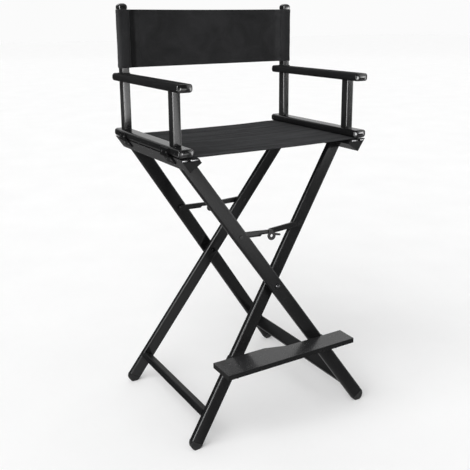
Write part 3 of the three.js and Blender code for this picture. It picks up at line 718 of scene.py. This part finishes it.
def taper_point(q, front, z, side):
    """A point on the tapering layer between the split (q=0) and the seam (q=1), and its bulge."""
    s = -1 if front else 1
    x0, y0, _, _ = WRAP[0] if front else WRAP[-1]
    sy = BY + s * 0.0009
    x = SPLIT + (SEAM - SPLIT) * q
    t = (x0 - x) / (x0 - SEAM)
    y = y0 + (sy - y0) * fall(t)
    live = math.sin(math.pi * min(1, max(0, q))) ** 0.8
    d = (z - BZ0) / (BZ1 - BZ0)
    puck = (0.0011 * nz(z * 34 + side * 7, q * 1.4, 1.0 if front else 4.0) + 0.0016 * nz(z * 19 + side * 3, q * 2.2, 8.0 if front else 2.0)) * live
    belly = -0.0008 * math.sin(math.pi * d) * live * s * -1
    fold = 0.0006 * math.sin(z * 330 + 3 * nz(z * 20, side, 0)) * q * q * math.exp(-(1 - q) * 3)
    return x, y + s * (puck + fold) + belly


def sleeve(side):
    """The tube of cloth round one post, up to the split."""
    xf, yf = split_point(True)
    xb, yb = split_point(False)
    path = [(xf, yf, None, None)]
    fx, fy = WRAP[0][0], WRAP[0][1]
    for k in range(1, 3):
        x = xf + (fx - xf) * k / 3
        path.append((x, fy + ((BY - 0.0009) - fy) * fall((fx - x) / (fx - SEAM)), None, None))
    path += WRAP
    bx, by = WRAP[-1][0], WRAP[-1][1]
    for k in range(1, 4):
        x = bx + (xb - bx) * k / 3
        path.append((x, by + ((BY + 0.0009) - by) * fall((bx - x) / (bx - SEAM)), None, None))
    n = len(path)
    top, bot = [], []
    for i, (x, y, _, _) in enumerate(path):
        a = path[max(0, i - 1)]
        b = path[min(n - 1, i + 1)]
        tx, ty = b[0] - a[0], b[1] - a[1]
        l = math.hypot(tx, ty) or 1
        nx, ny = ty / l, -tx / l  # outwards for this direction of travel
        live = smoothstep(min(i, n - 1 - i) / 5)
        for z in ZS:
            th, gr = shade_z(z)
            w = 0.00028 * nz(x * 60 + side * 3, y * 60, z * 45) * live + 0.00035 * nz(i * 0.35, side, z * 16) * live
            w = max(w, -0.0002)
            X, Y = x + nx * w, y + ny * w
            top.append((side * (X + nx * (th - gr)), Y + ny * (th - gr), z))
            bot.append((side * (X - nx * th * 0.9), Y - ny * th * 0.9, z))
    v, f = grid_solid(top, bot, n - 1, len(ZS) - 1)
    o = make(("left" if side < 0 else "right") + "_post_sleeve", v, f, M["back"])
    fixed_normals(o)
    length = sum(math.hypot(path[i + 1][0] - path[i][0], path[i + 1][1] - path[i][1]) for i in range(n - 1))
    return o, length


def panel_y(x, z):
    """Middle of the cloth in the flat part, front layer."""
    d = (z - BZ0) / (BZ1 - BZ0)
    e = smoothstep((SEAM - abs(x)) / 0.05)
    big = 0.0011 * nz(x * 5.5 + 2, 0.4, z * 9) * e
    pull = 0.0007 * nz(x * 11, 1.0, z * 26 + 4) * e
    near = math.exp(-(SEAM - abs(x)) / 0.03)
    pk = 0.0007 * math.sin(z * 330 + 3 * nz(z * 20, -1 if x < 0 else 1, 0)) * near
    bow = 0.003 * math.sin(math.pi * max(0, min(1, (x + SEAM) / (2 * SEAM)))) ** 1.2
    return BY - 0.0009 + big + pull + pk * e + bow


def panel_z(z, x):
    """The free edges of the panel hang a little between the posts."""
    d = (z - BZ0) / (BZ1 - BZ0)
    dip = 0.0007 * max(0.0, 1 - (x / SEAM) ** 2)
    return z - dip * (0.25 + 0.75 * d) * (1 if d > 0.5 else 1)


def build_panel():
    V, F = [], []

    def add(top, bot, nu, nv):
        v, f = grid_solid(top, bot, nu, nv)
        k = len(V)
        V.extend(v)
        F.extend([tuple(i + k for i in q) for q in f])

    nv = len(ZS) - 1
    # front layer, left split to right split
    cols = []
    for k in range(9):
        cols.append((-1, k / 9))
    nmid = 96
    for k in range(nmid + 1):
        cols.append((0, -SEAM + 2 * SEAM * k / nmid))
    for k in range(8, -1, -1):
        cols.append((1, k / 9))
    pos = []
    for kind, q in cols:
        col = []
        for z in ZS:
            if kind:
                x, y = taper_point(q, True, z, kind)
                col.append((kind * x, y, z))
            else:
                col.append((q, panel_y(q, z), panel_z(z, q)))
        pos.append(col)
    top, bot = [], []
    n = len(pos)
    for i in range(n):
        x = pos[i][0][0]
        ds = abs(abs(x) - SEAM)
        seam = math.exp(-(ds / 0.0011) ** 2) * 0.0005
        for j, z in enumerate(ZS):
            a, b = Vector(pos[max(0, i - 1)][j]), Vector(pos[min(n - 1, i + 1)][j])
            t = (b - a)
            nx, ny = t.y, -t.x
            l = math.hypot(nx, ny) or 1
            nx, ny = nx / l, ny / l
            th, gr = shade_z(z)
            p = pos[i][j]
            top.append((p[0] + nx * (th - gr - seam), p[1] + ny * (th - gr - seam), p[2]))
            bot.append((p[0] - nx * th * 0.9, p[1] - ny * th * 0.9, p[2]))
    add(top, bot, n - 1, nv)
    # rear layers: split to seam, then the sewn-down allowance
    for side in (-1, 1):
        cols = [("t", k / 9) for k in range(10)] + [("f", k / 4) for k in range(1, 5)]
        pos = []
        for kind, q in cols:
            col = []
            for z in ZS:
                if kind == "t":
                    x, y = taper_point(q, False, z, side)
                    y = max(y, panel_y(SEAM * side, z) + 0.0017) if q > 0.85 else y
                    col.append((side * x, y, z if q < 0.99 else z))
                else:
                    x = side * (SEAM - 0.013 * q)
                    col.append((x, panel_y(x, z) + 0.0017, panel_z(z, x)))
            pos.append(col)
        n = len(pos)
        top, bot = [], []
        for i in range(n):
            for j, z in enumerate(ZS):
                a, b = Vector(pos[max(0, i - 1)][j]), Vector(pos[min(n - 1, i + 1)][j])
                t = (b - a) * (-side)
                nx, ny = t.y, -t.x
                l = math.hypot(nx, ny) or 1
                nx, ny = -nx / l, -ny / l
                th, gr = shade_z(z)
                if i >= n - 1:
                    th *= 0.6
                p = pos[i][j]
                top.append((p[0] + nx * (th - gr), p[1] + ny * (th - gr), p[2]))
                bot.append((p[0] - nx * th * 0.85, p[1] - ny * th * 0.85, p[2]))
        add(top, bot, n - 1, nv)
    o = make("back_panel_cloth", V, F, M["back"])
    fixed_normals(o)
    rows = []
    for side in (-1, 1):
        for off in (0.0, -0.0055):
            x = side * (SEAM + off)
            for face, s in ((-1, -1), (1, 1)):
                pts, nr = [], []
                for k in range(41):
                    z = BZ0 + 0.004 + (BZ1 - BZ0 - 0.008) * k / 40
                    y = panel_y(x, z)
                    y += -CT + 0.0003 if face < 0 else 0.0017 + CT - 0.0001
                    pts.append((x, y, panel_z(z, x)))
                    nr.append((0, s, 0))
                rows.append((pts, nr))
    for z in (BZ0 + 0.0098, BZ1 - 0.0098):
        for face in (-1, 1):
            pts, nr = [], []
            for k in range(81):
                x = -SEAM + 0.008 + (2 * SEAM - 0.016) * k / 80
                y = panel_y(x, z) + face * (CT + 0.0002)
                if face > 0 and abs(x) > SEAM - 0.014:
                    y += 0.0017
                pts.append((x, y, panel_z(z, x)))
                nr.append((0, face, 0))
            rows.append((pts, nr))
    s = stitches("back_panel_stitching", rows, None, M["thread"], pitch=0.0038, length=0.0028)
    return o, s


panel, panel_st = build_panel()
left_sleeve, sleeve_len = sleeve(-1)
right_sleeve, _ = sleeve(1)
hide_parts("back_sling")
for o in (panel, panel_st):
    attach(o, "left_arm")
    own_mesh(o)
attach(left_sleeve, "left_arm")
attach(right_sleeve, "right_arm")

# ------------------------------------------------------------------ small hardware


def frame_from(nrm):
    n = Vector(nrm).normalized()
    a = Vector((0, 0, 1)) if abs(n.z) < 0.9 else Vector((1, 0, 0))
    u = n.cross(a).normalized()
    return n, u, n.cross(u)


def screw(name, at, nrm, body, r=0.0036, h=0.0016, cross=True, mat="screw", seg=20, dome=1.0):
    """A pan-head screw or rivet head: a turned dome with a Phillips recess."""
    n, u, v = frame_from(nrm)
    at = Vector(at)
    prof = [(1.0, -0.0002), (1.0, 0.25 * h), (0.93, 0.55 * h), (0.78, 0.80 * h), (0.55, 0.94 * h), (0.34, h)]
    V, F = [], []
    for rr, hh in prof:
        for k in range(seg):
            a = 2 * math.pi * k / seg
            V.append(at + u * (math.cos(a) * r * rr) + v * (math.sin(a) * r * rr) + n * hh)
    for i in range(len(prof) - 1):
        for k in range(seg):
            a, b = i * seg + k, i * seg + (k + 1) % seg
            F.append((a, b, b + seg, a + seg))
    last = (len(prof) - 1) * seg
    if cross:
        # four-lobed recess: every fifth of the ring dips
        inner = len(V)
        for k in range(seg):
            a = 2 * math.pi * k / seg
            lobe = abs(math.cos(2 * a)) ** 3
            rr = 0.12 + 0.2 * lobe
            V.append(at + u * (math.cos(a) * r * rr) + v * (math.sin(a) * r * rr) + n * (h * 0.98))
        deep = len(V)
        for k in range(seg):
            a = 2 * math.pi * k / seg
            lobe = abs(math.cos(2 * a)) ** 3
            rr = 0.08 + 0.14 * lobe
            V.append(at + u * (math.cos(a) * r * rr) + v * (math.sin(a) * r * rr) + n * (h * 0.25))
        for k in range(seg):
            k2 = (k + 1) % seg
            F.append((last + k, last + k2, inner + k2, inner + k))
            F.append((inner + k, inner + k2, deep + k2, deep + k))
        F.append(tuple(deep + k for k in range(seg)))
    else:
        F.append(tuple(last + k for k in range(seg)))
    F.append(tuple(range(seg - 1, -1, -1)))
    o = make(name, V, F, M[mat], body)
    return o


def face_of(node, direction):
    """Middle and normal of a node's largest flat face that looks along a direction."""
    me = N[node].data
    d = Vector(direction).normalized()
    best = {}
    for p in me.polygons:
        if p.normal.dot(d) > 0.9:
            key = tuple(round(c, 2) for c in p.normal)
            best.setdefault(key, []).append(p)
    group = max(best.values(), key=lambda g: sum(p.area for p in g))
    pts = [me.vertices[i].co for p in group for i in p.vertices]
    lo = Vector([min(q[k] for q in pts) for k in range(3)])
    hi = Vector([max(q[k] for q in pts) for k in range(3)])
    return (lo + hi) / 2, Vector(group[0].normal), lo, hi


# hinge screws: two per leaf, on the sloped outer face of the seat rail and the outer side of the arm rail
for side, w in ((-1, "left"), (1, "right")):
    for part in ("front", "rear"):
        for leaf, d in (("rail", (side * math.cos(math.radians(34.3)), 0, -math.sin(math.radians(34.3)))), ("arm", (side, 0, 0))):
            node = f"{w}_{part}_hinge_{leaf}_leaf"
            if node not in N:
                continue
            mid, nrm, lo, hi = face_of(node, d)
            for k, dy in enumerate((-0.27, 0.27)):
                q = mid.copy()
                q.y += dy * (hi.y - lo.y)
                screw(f"{w}_{part}_{leaf}_leaf_screw_{k + 1}", q, nrm, NODE_BODY[node], 0.0027, 0.0010)


def bar(name, x0, x1, y0, y1, z0, z1, mat, body, slant=0.0, r=0.0004):
    """A slim strip with softened long edges, along X."""
    pts = []
    for cy, cz, a0 in ((y1 - r, z1 - r, 0), (y0 + r, z1 - r, 90), (y0 + r, z0 + r, 180), (y1 - r, z0 + r, 270)):
        for k in range(4):
            a = math.radians(a0 + 30 * k)
            pts.append((cy + r * math.cos(a), cz + r * math.sin(a)))
    V = [(x, y, z + slant * (x - x0) / (x1 - x0)) for x in (x0, x1) for y, z in pts]
    n = len(pts)
    F = [(k, (k + 1) % n, n + (k + 1) % n, n + k) for k in range(n)] + [tuple(range(n - 1, -1, -1)), tuple(range(n, 2 * n))]
    o = make(name, V, F, M[mat], body)
    fixed_normals(o)
    return o


# the open ends of the seat rails: bare metal lips either side of the cord slot, under a dark joint
for side, w, body in ((-1, "left", "outer_frame"), (1, "right", "inner_frame")):
    for fr, e in ((-1, "front"), (1, "rear")):
        lo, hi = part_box(f"{w}_seat_rail_{e}_cap")
        face = lo.y if fr < 0 else hi.y
        ya, yb = (face - 0.0005, face + 0.0020) if fr < 0 else (face - 0.0020, face + 0.0005)
        yc, yd = (face - 0.0003, face + 0.0020) if fr < 0 else (face - 0.0020, face + 0.0003)
        for k, (a, b) in enumerate(((0.2810, 0.2694), (0.2588, 0.2385))):
            xa, xb = sorted((side * a, side * b))
            bar(f"{w}_rail_{e}_lip_{k + 1}", xa, xb, ya, yb, 0.7770, 0.7801, "alu", body)
        xa, xb = sorted((side * 0.2816, side * 0.2378))
        bar(f"{w}_rail_{e}_joint", xa, xb, yc, yd, 0.7806, 0.7818, "foot", body, r=0.0002)

# rivet heads where the braces are pinned through the legs
C34, S34 = math.cos(math.radians(34.3)), math.sin(math.radians(34.3))
for name, x, y, ny, body in (
    ("front_outer", -0.1037, -0.2035, -1, "outer_frame"),
    ("front_inner", 0.1037, -0.1567, 1, "inner_frame"),
    ("rear_outer", -0.1037, 0.2035, 1, "outer_frame"),
    ("rear_inner", 0.1037, 0.1567, -1, "inner_frame"),
):
    yy = y - math.copysign(0.0965 * 0.184, y) + YS
    lean = 0.0961
    nrm = (0, ny * 0.9954, lean * (1 if (ny < 0) == (y < 0) else -1))
    screw(f"{name}_brace_rivet", (x, yy, 0.400 + C34 * 0.184), nrm, body, 0.0047, 0.0013, cross=False, mat="rivet", seg=24)


def rounded_foot(node):
    """The half-round foot with its rim rounded over, in the place of its CAD node."""
    import bmesh

    me = N[node].data.copy()
    bm = bmesh.new()
    bm.from_mesh(me)
    bmesh.ops.remove_doubles(bm, verts=bm.verts, dist=0.00002)
    bmesh.ops.dissolve_limit(bm, angle_limit=math.radians(1.0), verts=bm.verts, edges=bm.edges)
    rim = [e for e in bm.edges if len(e.link_faces) == 2 and e.calc_face_angle(0) > math.radians(55) and max(f.calc_area() for f in e.link_faces) > 0.0004 and min(v.co.z for v in e.verts) > 0.0004]
    bmesh.ops.bevel(bm, geom=rim, offset=0.0032, segments=4, profile=0.5, affect="EDGES", clamp_overlap=True)
    mid = sum((v.co for v in bm.verts), Vector()) / len(bm.verts)
    for v in bm.verts:
        v.co.x = mid.x + (v.co.x - mid.x) * 0.955
        v.co.y = mid.y + (v.co.y - mid.y) * 0.90
    bmesh.ops.recalc_face_normals(bm, faces=bm.faces)
    bm.to_mesh(me)
    bm.free()
    me.materials.clear()
    me.materials.append(M["foot"])
    me.polygons.foreach_set("use_smooth", [True] * len(me.polygons))
    me.name = node + "_boot"
    o = bpy.data.objects.new(node + "_boot", me)
    bpy.context.scene.collection.objects.link(o)
    o.matrix_world = N[node].matrix_world.copy()
    mod = o.modifiers.new("round_shading", "NODES")
    mod.node_group = ROUND
    flat = o.modifiers.new("flat_faces", "WEIGHTED_NORMAL")
    flat.weight = 95
    flat.keep_sharp = True
    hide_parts(node)
    return o


for node in [n for n in N if n.endswith("_foot")]:
    o = rounded_foot(node)
    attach(o, NODE_BODY[node])


def oval(w, h, r, n=7):
    """Rounded rectangle outline, anticlockwise."""
    r = max(1e-5, min(r, w / 2 - 1e-5, h / 2 - 1e-5))
    out = []
    for cx, cy, a0 in ((w / 2 - r, h / 2 - r, 0), (-w / 2 + r, h / 2 - r, 90), (-w / 2 + r, -h / 2 + r, 180), (w / 2 - r, -h / 2 + r, 270)):
        for k in range(n + 1):
            a = math.radians(a0 + 90 * k / n)
            out.append((cx + r * math.cos(a), cy + r * math.sin(a)))
    return out


def domed_cap(name, node, axis, sign, w, h, r, depth, body, crown, power=2.6, steps=9):
    """A moulded end plug with a soft shoulder and a slightly crowned face, in the place of its CAD node."""
    lo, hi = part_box(node)
    c = (lo + hi) / 2
    tip = hi if sign > 0 else lo
    V, F = [], []
    rings = []
    end = tip["xyz".index(axis)]
    start = end - sign * depth
    prof = [(0.0, 0.0)]
    for k in range(steps + 1):
        a = math.pi / 2 * k / steps
        prof.append((math.sin(a) ** 0.9 * (1 - crown), (1 - math.cos(a))))
    # prof: (share of the depth, shoulder inset 0..1)
    inset = min(w, h) * 0.12
    for d, s in prof:
        rings.append((d, s * inset))
    for extra in (0.25, 0.5, 0.75, 0.93):
        # the face itself rises a little towards its middle
        rings.append((1 - crown + crown * math.sin(math.pi / 2 * extra), inset + (min(w, h) / 2 - inset - 0.0002) * extra))
    n = None
    for d, s in rings:
        pts = oval(w - 2 * s, h - 2 * s, r - s * 0.8)
        n = len(pts)
        for u, v in pts:
            e = start + sign * depth * d
            if axis == "y":
                # the face is also crowned across its width
                V.append((c.x + u, e - sign * (0.0036 * (u / (w / 2)) ** 2 + 0.0010 * (0.5 + v / h)) * min(1.0, d * 1.3), c.z + v))
            else:
                V.append((c.x + u, c.y + v, e))
    for i in range(len(rings) - 1):
        for k in range(n):
            a, b = i * n + k, i * n + (k + 1) % n
            F.append((a, b, b + n, a + n))
    F.append(tuple((len(rings) - 1) * n + k for k in range(n)))
    F.append(tuple(range(n - 1, -1, -1)))
    o = make(name, V, F, M["cap"], None)
    fixed_normals(o)
    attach(o, body)
    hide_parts(node)
    return o


for w, body in (("left", "left_arm"), ("right", "right_arm")):
    for part in ("arm_lower", "armrest"):
        domed_cap(f"{w}_{part}_front_plug", f"{w}_{part}_front_cap", "y", -1, 0.042, 0.021, 0.008, 0.0056, body, 0.16)
        domed_cap(f"{w}_{part}_rear_plug", f"{w}_{part}_rear_cap", "y", 1, 0.042, 0.021, 0.008, 0.0056, body, 0.16)

# ------------------------------------------------------------------ floor, light, camera
floor_m = Mat("studio_floor", (0.93, 0.93, 0.93), 0.9, spec=0.1)
fl_n = floor_m.noise(3.0, 4, 0.5)
floor_m.base(floor_m.ramp(fl_n, [(0.3, (0.915, 0.915, 0.915)), (0.7, (0.94, 0.94, 0.94))]))
floor = make("studio_floor", [(-30, -30, 0), (30, -30, 0), (30, 30, 0), (-30, 30, 0)], [(0, 1, 2, 3)], floor_m.m, smooth=False)
floor.location.z = -0.0002
floor.visible_glossy = False
floor.visible_diffuse = False
floor.visible_shadow = False


def shell(name, m, radius, nu=48, nv=24):
    """A large sphere round the set, for one kind of ray only."""
    V, F = [], []
    for i in range(nv + 1):
        th = math.pi * i / nv
        for k in range(nu):
            a = 2 * math.pi * k / nu
            V.append((radius * math.sin(th) * math.cos(a), radius * math.sin(th) * math.sin(a), radius * math.cos(th)))
    for i in range(nv):
        for k in range(nu):
            a, b = i * nu + k, i * nu + (k + 1) % nu
            F.append((a, a + nu, b + nu, b))
    o = make(name, V, F, m)
    o.location = (0, 0, 0.6)
    o.visible_diffuse = False
    o.visible_shadow = False
    o.visible_transmission = False
    o.visible_volume_scatter = False
    return o


def glow(m, sock, strength=1.0):
    """Turns a Mat into plain emission."""
    em = m.new("ShaderNodeEmission")
    em.inputs[1].default_value = strength
    if sock is not None:
        m.link(sock, em.inputs[0])
    m.t.links.new(em.outputs[0], m.out.inputs[0])
    m.t.nodes.remove(m.b)
    m.m.cycles.emission_sampling = "NONE"
    return em


def by_angle(m, deg, stops, top):
    """A value by an angle in degrees: stops are (degrees, value), values up to top."""
    f = m.span(deg, 0.0, 1.0, -90.0, 90.0)
    r = m.ramp(f, [((d + 90) / 180, (v / top,) * 3) for d, v in stops])
    return m.math("MULTIPLY", r, top)


def studio():
    """What the gloss of the chair sees: a dark room with a tall lit panel in front, a key box at the
    upper left, a small box at the right and a pale sky behind."""
    m = Mat("studio_reflection", (1, 1, 1), 1.0)
    nrm = m.new("ShaderNodeVectorMath", operation="NORMALIZE")
    m.link(m.coord.outputs["Object"], nrm.inputs[0])
    sep = m.new("ShaderNodeSeparateXYZ")
    m.link(nrm.outputs[0], sep.inputs[0])
    x, y, z = sep.outputs
    el = m.math("MULTIPLY", m.math("ARCSINE", z), 180 / math.pi)
    az = m.math("MULTIPLY", m.math("ARCTAN2", x, m.math("MULTIPLY", y, -1.0)), 180 / math.pi)

    def win(s, lo, hi, soft):
        a = m.math("MULTIPLY", m.math("SUBTRACT", s, lo - soft / 2), 1 / soft, clamp=True)
        b = m.math("MULTIPLY", m.math("SUBTRACT", hi + soft / 2, s), 1 / soft, clamp=True)
        return m.math("MULTIPLY", a, b)

    front = by_angle(m, el, [(-90, .25), (-45, .22), (-30, .12), (-10, .06), (35, .06), (55, .35), (90, .5)], 1.0)
    back = by_angle(m, el, [(-90, .42), (-45, .32), (-33, .21), (-22, .20), (-15, .06), (-8, .02), (-5, .5), (1, .72), (14, .78), (22, 1.1), (40, .9), (60, .4), (90, .5)], 1.0)
    rise = m.math("MULTIPLY", m.math("SUBTRACT", el, -9.0), 0.2, clamp=True)
    less = m.math("SUBTRACT", 1.0, m.span(x, 0.07, 1.0, -0.34, 0.0))
    back = m.math("MULTIPLY", back, m.math("SUBTRACT", 1.0, m.math("MULTIPLY", less, rise)))
    f = m.span(y, 0.0, 1.0, -0.12, 0.12)
    base = m.math("ADD", m.math("MULTIPLY", front, m.math("SUBTRACT", 1.0, f)), m.math("MULTIPLY", back, f))
    tall = m.math("MULTIPLY", win(az, -20.0, 28.5, 3.0), by_angle(m, el, [(-50, .2), (-36, .45), (-26, .42), (-19, .18), (-14, .30), (-11.5, .85), (-8, 1.30), (-5, 1.25), (-2, 1.0), (3, 0.0)], 2.0))
    side = m.math("MULTIPLY", win(az, 52.0, 74.0, 5.0), by_angle(m, el, [(-30, .25), (-14, .5), (-8, 3.0), (-2, 3.0), (1, 1.0), (22, 1.0), (30, 0)], 5.0))
    side = m.math("ADD", side, m.math("MULTIPLY", win(az, 33.0, 52.0, 6.0), by_angle(m, el, [(-40, .1), (-16, .16), (-6, .10), (0, .10), (5, .8), (24, .8), (30, 0)], 1.0)))
    spots = m.math("MULTIPLY", win(az, -5.0, 13.0, 4.0), by_angle(m, el, [(-9, 0), (-6, 6), (4, 6), (7, 0)], 6.0))
    spots = m.math("ADD", spots, m.math("MULTIPLY", win(az, 37.0, 51.0, 4.0), by_angle(m, el, [(-1.5, 0), (0.5, 6), (5, 6), (8, 0)], 6.0)))
    side = m.math("ADD", side, spots)
    key = m.math("MULTIPLY", win(az, -68.0, -36.0, 4.0), by_angle(m, el, [(-16, 0), (-11, 2.2), (4, 2.2), (10, 11), (38, 11), (45, 0)], 12.0))
    tot = m.math("ADD", m.math("ADD", base, tall), m.math("ADD", side, key))
    glow(m, tot)
    o = shell("studio_reflection_dome", m.m, 18)
    o.visible_camera = False
    return o


studio()
paper = Mat("studio_backdrop", (1, 1, 1), 1.0)
tone = paper.noise(0.15, 2, 0.5)
glow(paper, paper.ramp(tone, [(0.2, (0.960, 0.960, 0.960)), (0.8, (0.972, 0.972, 0.972))]))
bd = shell("studio_backdrop", paper.m, 40)
bd.visible_glossy = False

world = bpy.data.worlds.new("studio")
bpy.context.scene.world = world
world.use_nodes = True
wb = world.node_tree.nodes["Background"]
wb.inputs[0].default_value = (1, 1, 1, 1)
wb.inputs[1].default_value = 0.55
world.cycles_visibility.glossy = False
world.cycles_visibility.camera = False

sun = bpy.data.lights.new("key_soft", "SUN")
sun.energy = 3.14
sun.angle = math.radians(75)
so = bpy.data.objects.new("key_soft", sun)
bpy.context.scene.collection.objects.link(so)
so.rotation_euler = Vector((-0.78, -0.36, 0.52)).to_track_quat("Z", "Y").to_euler()
so.visible_glossy = False

cam = bpy.data.cameras.new("camera")
cam.sensor_width = 36
cam.lens = 696.857 / 470 * 36
cam.shift_x = -5 / 470
cam.shift_y = -50 / 470
cam.clip_end = 100
co = bpy.data.objects.new("camera", cam)
bpy.context.scene.collection.objects.link(co)
az, pitch, roll = math.radians(31.1177), math.radians(13.6591), math.radians(-0.3168)
fwd = Vector((math.sin(az) * math.cos(pitch), math.cos(az) * math.cos(pitch), -math.sin(pitch)))
right = fwd.cross(Vector((0, 0, 1))).normalized()
up = right.cross(fwd)
r2 = right * math.cos(roll) + up * math.sin(roll)
u2 = -right * math.sin(roll) + up * math.cos(roll)
co.matrix_world = Matrix(((r2.x, u2.x, -fwd.x, -1.00296), (r2.y, u2.y, -fwd.y, -1.65224), (r2.z, u2.z, -fwd.z, 1.11548), (0, 0, 0, 1)))
bpy.context.scene.camera = co
bpy.context.scene.view_settings.view_transform = "Standard"
